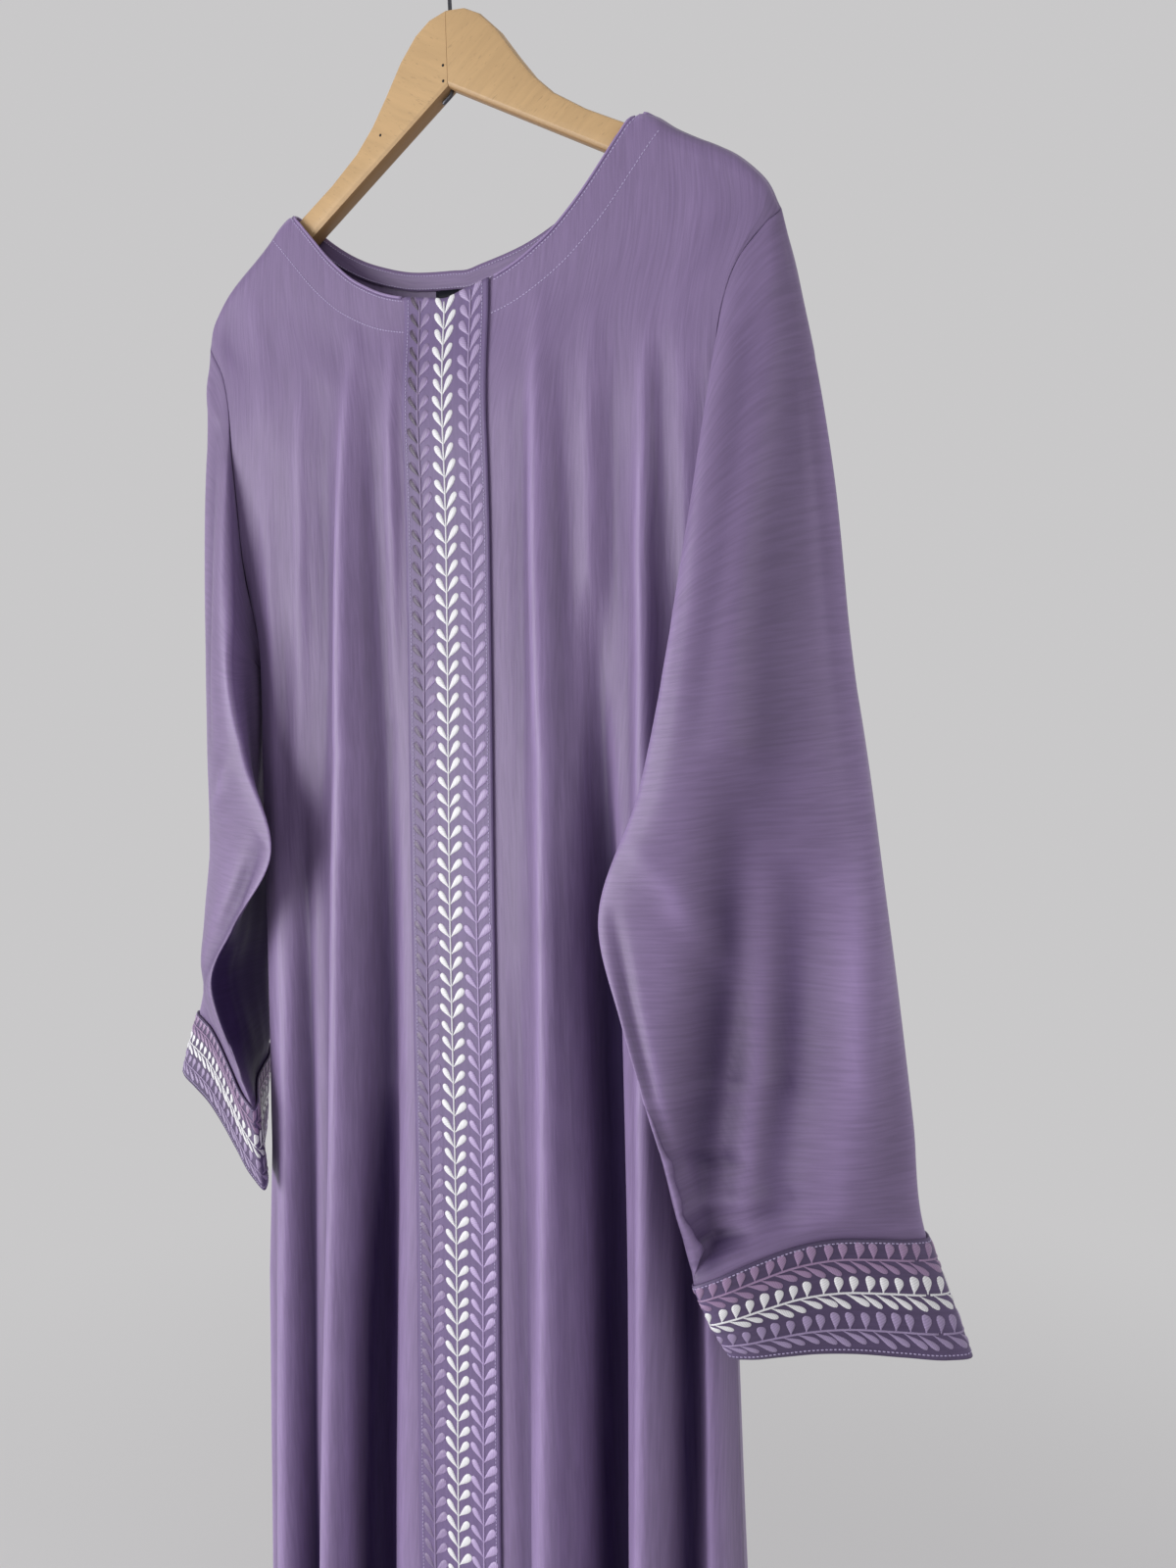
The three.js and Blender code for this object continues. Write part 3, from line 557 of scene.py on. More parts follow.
# ---------------------------------------------------------------- cloth surfaces
def wall_skin(node, wall, facing):
    """One face of a packed cloth wall, as loose triangles merged into a mesh."""
    mesh = bmesh.new()
    mesh.from_mesh(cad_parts[node].data)
    bmesh.ops.remove_doubles(mesh, verts=mesh.verts, dist=0.01 * MM)
    tolerance = 0.002 * MM
    rim = [f for f in mesh.faces
           if any(abs(e.calc_length() - wall * MM) < tolerance for e in f.edges)]
    bmesh.ops.delete(mesh, geom=rim, context="FACES")
    islands = []
    left = set(mesh.faces)
    while left:
        island = {left.pop()}
        edge_of = list(island)
        while edge_of:
            face = edge_of.pop()
            near = {f for e in face.edges for f in e.link_faces} & left
            left -= near
            island |= near
            edge_of.extend(near)
        islands.append(island)
    if len(islands) != 2:
        raise RuntimeError(f"{node}: {len(islands)} faces of its wall were found, not 2")
    measure = {
        FRONT: lambda faces: -sum(f.calc_center_median().y for f in faces) / len(faces),
        BACK: lambda faces: sum(f.calc_center_median().y for f in faces) / len(faces),
        ROUND: lambda faces: sum(f.calc_area() for f in faces),
    }[facing]
    islands.sort(key=measure)
    bmesh.ops.delete(mesh, geom=list(islands[0]), context="FACES")
    mesh.verts.ensure_lookup_table()
    return mesh


def skin_rows(skin, closed):
    """The skin's points as rows from the top down. Its triangles all lean one way, so each
    row is read from the one above across the strip of triangles between them."""
    rim = [v for v in skin.verts if v.is_boundary]
    # The first row starts at its highest point, and where heights are alike at the outer side
    # of a tube or the wearer's right corner of an open piece.
    if closed:
        start = max(rim, key=lambda v: abs(v.co.x) + 4 * v.co.z)
    else:
        corners = [v for v in rim if len(v.link_edges) < 4]
        start = max(corners, key=lambda v: 4 * v.co.z - v.co.x)

    def neighbours(v):
        return [e.other_vert(v) for e in v.link_edges if e.is_boundary]

    row = [start]
    if closed:
        row.append(min(neighbours(start), key=lambda v: v.co.y))
    else:
        row.append(max(neighbours(start), key=lambda v: (v.co - start.co).normalized().x))
    while True:
        following = next(v for v in neighbours(row[-1]) if v is not row[-2])
        if following is start:
            break
        row.append(following)
        if not closed and len(following.link_edges) < 4:
            break
    rows = [row]
    used = set()
    while True:
        row = rows[-1]
        pairs = list(zip(row, row[1:] + (row[:1] if closed else [])))
        below = []
        for a, b in pairs:
            faces = [f for f in a.link_faces if b in f.verts and f not in used]
            if not faces:
                return rows
            below.append(next(v for v in faces[0].verts if v is not a and v is not b))
        if closed:
            straight = sum((a.co - t.co).length for (a, _), t in zip(pairs, below))
            slanted = sum((b.co - t.co).length for (_, b), t in zip(pairs, below))
            new = below if straight < slanted else below[-1:] + below[:-1]
        else:
            first = next((e for e in row[0].link_edges if below[0] in e.verts))
            if first.is_boundary:
                faces = [f for f in row[-1].link_faces
                         if below[-1] in f.verts and row[-2] not in f.verts]
                last = next(v for v in faces[0].verts if v not in (row[-1], below[-1]))
                new = below + [last]
            else:
                faces = [f for f in row[0].link_faces
                         if below[0] in f.verts and row[1] not in f.verts]
                last = next(v for v in faces[0].verts if v not in (row[0], below[0]))
                new = [last] + below
        both = set(row) | set(new)
        used |= {f for v in row for f in v.link_faces if all(p in both for p in f.verts)}
        rows.append(new)


def smooth_through(points, step, closed):
    """Smooth curves through the first axis of points, with a new point at most every step."""
    if closed:
        points = np.concatenate([points[-2:], points, points[:3]])
    gaps = np.linalg.norm(np.diff(points, axis=0), axis=2).mean(axis=1)
    slopes = np.diff(points, axis=0) / gaps[:, None, None]
    weight = gaps[1:, None, None] / (gaps[1:] + gaps[:-1])[:, None, None]
    inner = slopes[:-1] * weight + slopes[1:] * (1 - weight)
    tangents = np.concatenate([slopes[:1], inner, slopes[-1:]])
    spans = range(2, len(points) - 3) if closed else range(len(points) - 1)
    made = []
    for i in spans:
        count = max(1, math.ceil(gaps[i] / step - 1e-6))
        for k in range(count):
            t = k / count
            made.append(
                points[i] * (2 * t**3 - 3 * t**2 + 1) + points[i + 1] * (3 * t**2 - 2 * t**3)
                + gaps[i] * (tangents[i] * (t**3 - 2 * t**2 + t) + tangents[i + 1] * (t**3 - t**2)))
    if not closed:
        made.append(points[-1])
    return np.array(made)


class Sheet:
    """A cloth surface as rows and columns of points, with normals and distances on it."""

    def __init__(self, points, closed, facing):
        self.points = points
        self.closed = closed
        self.facing = facing
        self.painted_shade_path = None
        self.measure()

    def measure(self):
        """Works out normals, and distances along the rows and down the columns."""
        points = self.points
        if self.closed:
            across = np.roll(points, -1, axis=1) - np.roll(points, 1, axis=1)
            ring = np.concatenate([points, points[:, :1]], axis=1)
        else:
            across = np.gradient(points, axis=1)
            ring = points
        normals = np.cross(across, np.gradient(points, axis=0))
        normals /= np.linalg.norm(normals, axis=2, keepdims=True)
        outward = {
            FRONT: -normals[..., 1].mean(),
            BACK: normals[..., 1].mean(),
            ROUND: (normals * (points - points.mean(axis=1, keepdims=True))).sum(),
        }[self.facing]
        self.turned = outward < 0
        self.normals = -normals if self.turned else normals
        lengths = np.linalg.norm(np.diff(ring, axis=1), axis=2)
        self.across = np.concatenate([np.zeros((len(points), 1)), lengths.cumsum(axis=1)], axis=1)
        drops = np.linalg.norm(np.diff(points, axis=0), axis=2).mean(axis=1)
        self.down = np.concatenate([[0], drops.cumsum()])

    def flat(self):
        """Width, length and area of the cloth unrolled."""
        a, b, c, d = self.corners()
        area = np.linalg.norm(np.cross(c - a, d - b), axis=2).sum() / 2
        width, length = self.across[:, -1].max(), self.down[-1]
        return (float(width), float(length)), float(min(area, width * length))

    def corners(self):
        """The four corners of each small square."""
        points = self.points
        if self.closed:
            points = np.concatenate([points, points[:, :1]], axis=1)
        return points[:-1, :-1], points[1:, :-1], points[1:, 1:], points[:-1, 1:]

    def cells(self, along, down):
        """Row and column numbers of places along a row and down from the top edge."""
        along, down = np.broadcast_arrays(np.asarray(along, float), np.asarray(down, float))
        rows = np.interp(down, self.down, np.arange(len(self.down)))
        i = np.minimum(rows.astype(int), len(self.down) - 2)
        share = (rows - i)[:, None]
        lines = self.across[i] * (1 - share) + self.across[i + 1] * share
        if self.closed:
            girth = self.across[:, -1].mean()
            along = along % girth * lines[:, -1] / girth
        j = np.clip((lines <= along[:, None]).sum(axis=1) - 1, 0, lines.shape[1] - 2)
        every = np.arange(len(j))
        start, end = lines[every, j], lines[every, j + 1]
        return rows, j + np.clip((along - start) / (end - start), 0, 1)

    def cells_near(self, places):
        """Row and column numbers of the points that lie at places (x, z) seen from the front."""
        flat = self.points[..., [0, 2]]
        found = []
        for place in places:
            away = ((flat - place) ** 2).sum(axis=2)
            i, j = np.unravel_index(away.argmin(), away.shape)
            i = int(np.clip(i, 1, flat.shape[0] - 2))
            j = int(np.clip(j, 1, flat.shape[1] - 2))
            sides = np.stack([
                (flat[i + 1, j] - flat[i - 1, j]) / 2, (flat[i, j + 1] - flat[i, j - 1]) / 2],
                axis=1)
            step = np.clip(np.linalg.solve(sides, place - flat[i, j]), -1, 1)
            found.append((i + step[0], j + step[1]))
        return np.array(found).T

    def at_cells(self, rows, columns):
        """Points and normals at row and column numbers with fractions."""
        count = self.points.shape[1]
        i = np.clip(rows.astype(int), 0, len(self.down) - 2)
        j = np.clip(columns.astype(int), 0, (count if self.closed else count - 1) - 1)
        k = (j + 1) % count
        r, c = (rows - i)[:, None], (columns - j)[:, None]
        return tuple(
            (grid[i, j] * (1 - c) + grid[i, k] * c) * (1 - r)
            + (grid[i + 1, j] * (1 - c) + grid[i + 1, k] * c) * r
            for grid in (self.points, self.normals))

    def seam(self, cells, step):
        """Points, normals and directions at even steps along a path of cells."""
        points, normals = self.at_cells(*cells)
        lengths = np.concatenate([[0], np.linalg.norm(np.diff(points, axis=0), axis=1).cumsum()])
        count = max(2, round(lengths[-1] / step))
        marks = (np.arange(count) + 0.5) * lengths[-1] / count
        points, normals = (
            np.stack([np.interp(marks, lengths, line) for line in grid.T], axis=1)
            for grid in (points, normals))
        directions = np.gradient(points, axis=0)
        directions /= np.linalg.norm(directions, axis=1, keepdims=True)
        return points, normals, directions

    def rightward(self):
        """1 where distances along the front grow towards +X, else -1."""
        across = np.gradient(self.points[..., 0], axis=1)
        return 1 if across[self.normals[..., 1] < -0.5].mean() > 0 else -1

    def fold_depth(self, reach):
        """The fold attribute: how deep each point lies between folds. It's the height of the
        surface averaged over so many metres along the row, above the point. A closed row's
        median is taken off, because the average of a round tube lies inside it. Near a
        painted-shade path it is raised, most on the side that faces the body, to paint shade there."""
        count = self.points.shape[1]
        spacing = self.across[:, -1].mean() / (count if self.closed else count - 1)
        side = max(1, round(reach / spacing))
        weights = np.hanning(2 * side + 3)[1:-1]
        padded = np.pad(
            self.points, ((0, 0), (side, side), (0, 0)), "wrap" if self.closed else "reflect",
            **({} if self.closed else {"reflect_type": "odd"}))
        mean = sum(w * padded[:, k:k + count] for k, w in enumerate(weights)) / weights.sum()
        height = ((mean - self.points) * self.normals).sum(axis=2)
        if self.closed:
            height = height - np.median(height, axis=1, keepdims=True)
        depth = np.clip(EVEN_FOLD + height / FOLD_DEPTH, 0, 1)
        # Painted shade on a sleeve's inner side, where it lies close to the body.
        if self.painted_shade_path:
            path, width = self.painted_shade_path
            near = np.exp(-(self.nearest(path)[0] / (width * MM)) ** 4)
            inward = np.clip(0.5 - 2 * self.normals[..., 0] * np.sign(path[0][0]), 0, 1)
            depth = np.maximum(depth, near * inward)
        return depth

    def nearest(self, path):
        """Each point's distance from a path of (x, z), and how far along the path that is."""
        flat = self.points[..., [0, 2]]
        path = np.array(path) * MM
        steps = np.linalg.norm(np.diff(path, axis=0), axis=1)
        nearest = np.full(flat.shape[:2], np.inf)
        share = np.zeros(flat.shape[:2])
        for a, b, start, step in zip(path, path[1:], steps.cumsum() - steps, steps):
            held = np.clip(((flat - a) @ (b - a)) / step**2, 0, 1)
            away = np.linalg.norm(flat - (a + held[..., None] * (b - a)), axis=2)
            closer = away < nearest
            nearest[closer] = away[closer]
            share[closer] = ((start + held * step) / steps.sum())[closer]
        return nearest, share

    def fill_out(self):
        """Lets the hanging cloth spread at the wearer's right side, further towards the hem."""
        x, z = self.points[..., 0], self.points[..., 2]
        out = np.interp(-z, *SPREAD)
        self.points[..., 0] = x - out * np.clip((-x - 0.12) / 0.06, 0, 1)
        self.measure()

    def crease(self, table, facing, margins):
        """Raises or sinks the side that faces front or back along each crease. Margins are in
        millimetres. Creases fade in over the top and the side one, and keep clear of the bottom
        one, under a cuff, and of the middle one, under the front band."""
        top, bottom, sides, middle = (m * MM for m in margins)
        over_bottom, beside_middle = 12 * MM, 7 * MM
        down = self.down[:, None]
        kept = np.clip(down / top, 0, 1)
        if bottom:
            kept = kept * np.clip((self.down[-1] - bottom - down) / over_bottom, 0, 1)
        if sides:
            edge = np.minimum(self.across, self.across[:, -1:] - self.across)
            kept = kept * np.clip(edge / sides, 0, 1)
        if middle:
            away = np.abs(self.points[..., 0]) - middle
            kept = kept * np.clip(away / beside_middle, 0, 1)
        side = {FRONT: -1, BACK: 1}[facing]
        # Full where the cloth faces that way, and fading where it turns to the side.
        kept = kept * np.clip(side * self.normals[..., 1] * 1.6, 0, 1)
        lift = 0
        for path, rise, width in table:
            away, share = self.nearest(path)
            fade = np.clip(np.sin(np.pi * share), 0, 1) ** 0.6
            lift = lift + rise * MM * fade * np.exp(-(away / (width * MM)) ** 2)
        self.points = self.points + self.normals * (lift * kept)[..., None]
        self.measure()


def read_sheet(node, facing, closed, row_step, column_step):
    """A smooth surface through the points of a packed cloth wall, with rows and columns so many
    millimetres apart at most."""
    skin = wall_skin(node, WALLS[node], facing)
    rows = skin_rows(skin, closed)
    points = np.array([[v.co[:] for v in row] for row in rows])
    skin.free()
    points = smooth_through(points, row_step * MM, False)
    points = smooth_through(points.swapaxes(0, 1), column_step * MM, closed).swapaxes(0, 1)
    return Sheet(points, closed, facing)


# ---------------------------------------------------------------- meshes
def deselect_all():
    """Leaves object mode with nothing selected."""
    if bpy.context.object and bpy.context.object.mode != "OBJECT":
        bpy.ops.object.mode_set(mode="OBJECT")
    bpy.ops.object.select_all(action="DESELECT")


def activate(piece):
    """Selects one object alone."""
    deselect_all()
    piece.select_set(True)
    bpy.context.view_layer.objects.active = piece


def apply_modifier(piece, kind, **settings):
    """Adds a modifier with its settings and applies it."""
    activate(piece)
    modifier = piece.modifiers.new(kind.lower(), kind)
    for name, value in settings.items():
        setattr(modifier, name, value)
    bpy.ops.object.modifier_apply(modifier=modifier.name)


def mesh_piece(name, vertices, faces, coordinates=None):
    """A smooth-shaded mesh object at the origin; coordinates give each corner's weave place."""
    mesh = bpy.data.meshes.new(name)
    mesh.from_pydata(vertices, [], faces)
    if coordinates is not None:
        layer = mesh.uv_layers.new(name="weave")
        layer.data.foreach_set("uv", np.asarray(coordinates, np.float32).ravel())
    mesh.polygons.foreach_set("use_smooth", [True] * len(mesh.polygons))
    mesh.update()
    piece = bpy.data.objects.new(name, mesh)
    bpy.context.scene.collection.objects.link(piece)
    return piece


def sheet_piece(name, sheet, wall):
    """The cloth shell of a surface: its outer face, with a wall inside it."""
    rows, columns = sheet.points.shape[:2]
    spans = columns if sheet.closed else columns - 1
    faces, coordinates = [], []
    middle = 0 if sheet.closed else sheet.across[:, columns // 2]
    across = sheet.across - np.reshape(middle, (-1, 1))
    for i in range(rows - 1):
        for j in range(spans):
            k = (j + 1) % columns
            corners = [(i, j, j), (i + 1, j, j), (i + 1, k, j + 1), (i, k, j + 1)]
            if not sheet.turned:
                corners.reverse()
            faces.append([a * columns + b for a, b, _ in corners])
            coordinates.extend((across[a, c], -sheet.down[a]) for a, _, c in corners)
    piece = mesh_piece(name, sheet.points.reshape(-1, 3).tolist(), faces, coordinates)
    depth = piece.data.attributes.new("fold", "FLOAT", "POINT")
    depth.data.foreach_set("value", sheet.fold_depth(FOLD_REACH).ravel().astype(np.float32))
    facing = np.array([p.normal[:] for p in piece.data.polygons])[: spans]
    wanted = sheet.normals[0][: spans]
    if (facing * wanted).sum() < 0:
        piece.data.flip_normals()
    apply_modifier(piece, "SOLIDIFY", thickness=wall, offset=-1)
    return piece


def finish_piece(piece, material, slot, *nodes):
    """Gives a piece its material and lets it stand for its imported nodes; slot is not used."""
    piece.data.materials.clear()
    piece.data.materials.append(material)
    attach(piece, "root")
    if nodes:
        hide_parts(*nodes)


def add_cloth(name, facing, closed, steps, material, slot="crepe", margins=None):
    """Steps are between its rows and its columns, in millimetres."""
    sheet = read_sheet(name, facing, closed, *steps)
    if "panel" in name:
        sheet.fill_out()
    for side in (FRONT, BACK):
        if (name, side) in CREASES:
            sheet.crease(CREASES[name, side], side, margins)
    sheet.painted_shade_path = PAINTED_SHADE_PATHS.get(name)
    SHEETS[name] = sheet
    piece = sheet_piece(f"{name}_cloth", sheet, bpy.context.scene.abaya_cloth.wall)
    finish_piece(piece, material, slot, name)
    size, area = sheet.flat()
    return piece


def copies(name, model, placed):
    """One mesh of many copies of a small modelled shape. Placed takes the shape's points and
    yields each copy's."""
    shape = np.array([v.co[:] for v in model.data.vertices])
    faces = [list(p.vertices) for p in model.data.polygons]
    corners = [tuple(shape[i, :2]) for face in faces for i in face]
    vertices, all_faces, coordinates = [], [], []
    for points in placed(shape):
        start = len(vertices)
        vertices.extend(points.tolist())
        all_faces.extend([start + i for i in face] for face in faces)
        coordinates.extend(corners)
    return mesh_piece(name, vertices, all_faces, coordinates)


def bent_copies(name, model, placements, sheet):
    """Copies of a leaf bent onto a surface. A placement is (along, down, heading, scale):
    heading turns the leaf's length from straight up."""
    def bent(shape):
        for along, down, heading, scale in placements:
            x, y, height = (shape * scale).T
            u = along + x * math.cos(heading) + y * math.sin(heading)
            v = down + x * math.sin(heading) - y * math.cos(heading)
            places, normals = sheet.at_cells(*sheet.cells(u, v))
            yield places + normals * height[:, None]

    piece = copies(name, model, bent)
    if sheet.rightward() < 0:
        piece.data.flip_normals()
    return piece


def sewn_copies(name, model, seams):
    """Copies of a stitch, each lying along a seam at its own place."""
    def sewn(shape):
        for points, normals, directions in seams:
            for place, up, ahead in zip(points, normals, directions):
                yield place + shape @ np.stack([np.cross(ahead, up), ahead, up])

    return copies(name, model, sewn)


def cord(name, seams, width, relief):
    """Raised rounded cords laid along seams, closed all round, as one mesh."""
    profile = [(math.cos(a), math.sin(a)) for a in np.linspace(0, math.pi, 6)]
    count = len(profile)
    vertices, faces, coordinates = [], [], []
    for points, normals, directions in seams:
        sideways = np.cross(directions, normals)
        start = len(vertices)
        rings = [points + sideways * (x * width / 2) + normals * (height * relief)
                 for x, height in profile]
        vertices.extend(np.stack(rings, axis=1).reshape(-1, 3).tolist())
        lengths = np.concatenate([[0], np.linalg.norm(np.diff(points, axis=0), axis=1).cumsum()])
        for i in range(len(points) - 1):
            for j in range(count):
                k = (j + 1) % count
                square = [(i, j), (i, k), (i + 1, k), (i + 1, j)]
                faces.append([start + a * count + b for a, b in square])
                coordinates.extend((profile[b][0] * width, lengths[a]) for a, b in square)
        for row, order in ((0, range(count - 1, -1, -1)), (len(points) - 1, range(count))):
            faces.append([start + row * count + b for b in order])
            coordinates.extend((profile[b][0] * width, lengths[row]) for b in order)
    return mesh_piece(name, vertices, faces, coordinates)


def select_between(piece, axis, low, high):
    """Selects the points whose place along an axis lies between two values, in edit mode."""
    bpy.ops.mesh.select_all(action="DESELECT")
    mesh = bmesh.from_edit_mesh(piece.data)
    for vertex in mesh.verts:
        vertex.select = low < vertex.co[axis] < high
    mesh.select_flush(True)
    bmesh.update_edit_mesh(piece.data)


# ---------------------------------------------------------------- operators: cloth
class ABAYA_OT_body_panels(bpy.types.Operator):
    """Builds the two fronts and the back as thin crepe shells"""

    bl_idname = "abaya.body_panels"
    bl_label = "Fronts and back"

    def execute(self, context):
        cloth = context.scene.abaya_cloth
        material = crepe_material("mauve_crepe_body", cloth.crepe, cloth.crinkle, True)
        for side in ("right", "left"):
            add_cloth(f"{side}_front_panel", FRONT, False, (7, 2.2), material,
                      margins=(14, 0, 16, 36))
        add_cloth("back_panel", BACK, False, (8, 2.8), material, margins=(30, 0, 16, 0))
        return {"FINISHED"}


class ABAYA_OT_sleeves(bpy.types.Operator):
    """Builds both sleeves as thin crepe tubes"""

    bl_idname = "abaya.sleeves"
    bl_label = "Sleeves"

    def execute(self, context):
        cloth = context.scene.abaya_cloth
        material = crepe_material("mauve_crepe_sleeve", cloth.crepe, cloth.crinkle, False)
        for side in ("right", "left"):
            add_cloth(f"{side}_sleeve", ROUND, True, (4, 3), material, margins=(14, 64, 0, 0))
        return {"FINISHED"}


class ABAYA_OT_bands(bpy.types.Operator):
    """Builds the ground cloth of the front band and of the cuff bands"""

    bl_idname = "abaya.bands"
    bl_label = "Front band and cuff bands"

    def execute(self, context):
        cloth = context.scene.abaya_cloth
        front = crepe_material(
            "plum_band_crepe", cloth.ground, 0.8 * cloth.crinkle, True, depth=0.5)
        cuff = crepe_material(
            "plum_cuff_crepe", shade(cloth.ground, 0.58), 0.8 * cloth.crinkle, False, depth=0.5)
        add_cloth("front_band", FRONT, False, (5, 2), front, "embroidered_band")
        for side in ("right", "left"):
            add_cloth(f"{side}_cuff_band", ROUND, True, (3, 2), cuff, "embroidered_band")
        return {"FINISHED"}


class ABAYA_OT_neck_trim(bpy.types.Operator):
    """Builds the facing strip inside the back neck and the blank label under it"""

    bl_idname = "abaya.neck_trim"
    bl_label = "Neck strip and label"

    def execute(self, context):
        cloth = context.scene.abaya_cloth
        crepe = crepe_material("mauve_crepe_facing", cloth.crepe, cloth.crinkle, False)
        add_cloth("back_neck_strip", FRONT, False, (3, 3), crepe)
        self.label(cloth)
        return {"FINISHED"}

    def label(self, cloth):
        """A woven label sewn under the strip, whose lower part curls slightly forward. Its top
        edge follows the strip's lower edge just under it, and the rest is drawn along."""
        low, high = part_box("neck_label")
        size, centre = high - low, (low + high) / 2
        deselect_all()
        bpy.ops.mesh.primitive_grid_add(
            x_subdivisions=16, y_subdivisions=8, size=1, location=centre,
            rotation=(math.pi / 2, 0, 0), scale=(1, 1, 1))
        piece = bpy.context.object
        piece.name = "neck_label_cloth"
        piece.scale = (size.x, size.z, 1)
        bpy.ops.object.transform_apply(location=True, rotation=True, scale=True)
        bpy.ops.object.mode_set(mode="EDIT")
        for share, forward in ((0.5, -0.35), (0.25, -0.5)):
            select_between(piece, 2, -math.inf, low.z + share * size.z)
            bpy.ops.transform.translate(value=(0, forward * MM, 0))
        bpy.ops.object.mode_set(mode="OBJECT")
        edge = SHEETS["back_neck_strip"].points[-1]
        order = edge[:, 0].argsort()
        for vertex in piece.data.vertices:
            sewn = np.interp(vertex.co.x, edge[order, 0], edge[order, 2]) - 0.4 * MM
            vertex.co.z += (sewn - high.z) * (vertex.co.z - low.z) / size.z
        apply_modifier(piece, "SOLIDIFY", thickness=0.5 * MM, offset=0)
        bpy.ops.object.shade_smooth()
        finish_piece(piece, label_material(cloth.label), "label", "neck_label")


# ---------------------------------------------------------------- operators: embroidery
def start_ball(segments, rings):
    """A ball whose poles lie along Y, all selected in edit mode."""
    deselect_all()
    bpy.ops.mesh.primitive_uv_sphere_add(
        segments=segments, ring_count=rings, radius=1, location=(0, 0, 0),
        rotation=(math.pi / 2, 0, 0))
    ball = bpy.context.object
    bpy.ops.object.transform_apply(location=True, rotation=True, scale=True)
    bpy.ops.object.mode_set(mode="EDIT")
    bpy.ops.mesh.select_all(action="SELECT")
    return ball


def finish_ball(length, width, relief):
    """Gives the selected shape, still 2 wide and long and 1 high, its size."""
    bpy.ops.transform.resize(
        value=(width / 2, length / 2, relief), center_override=(0, 0, 0))
    bpy.ops.object.mode_set(mode="OBJECT")


def model_leaf(length, width, relief, fat):
    """One satin-stitched leaf lying flat, its stalk's end at the origin and its tip up +Y:
    half a ball whose rings are drawn in to a thin stalk and swell to a round end."""
    rings = 8
    leaf = start_ball(12, rings)
    bpy.ops.mesh.bisect(
        plane_co=(0, 0, -0.01), plane_no=(0, 0, 1), use_fill=True, clear_inner=True)
    widths = (0.13, 0.17, 0.3 + 0.2 * fat, 0.62 + 0.2 * fat, 0.92 + 0.08 * fat, 0.9, 0.58)
    for ring, wanted in enumerate(widths, start=1):
        level = -math.cos(ring * math.pi / rings)
        share = wanted / math.sqrt(1 - level * level)
        select_between(leaf, 1, level - 0.02, level + 0.02)
        bpy.ops.transform.resize(
            value=(share, 1, 0.35 + 0.65 * min(share, 1)), center_override=(0, 0, 0))
    bpy.ops.mesh.select_all(action="SELECT")
    bpy.ops.transform.translate(value=(0, 1, 0))
    finish_ball(length, width, relief)
    return leaf


def model_stitch(length, width, relief):
    """One sewing stitch lying flat, centred, with its length up Y."""
    stitch = start_ball(6, 4)
    finish_ball(length, width, relief)
    return stitch


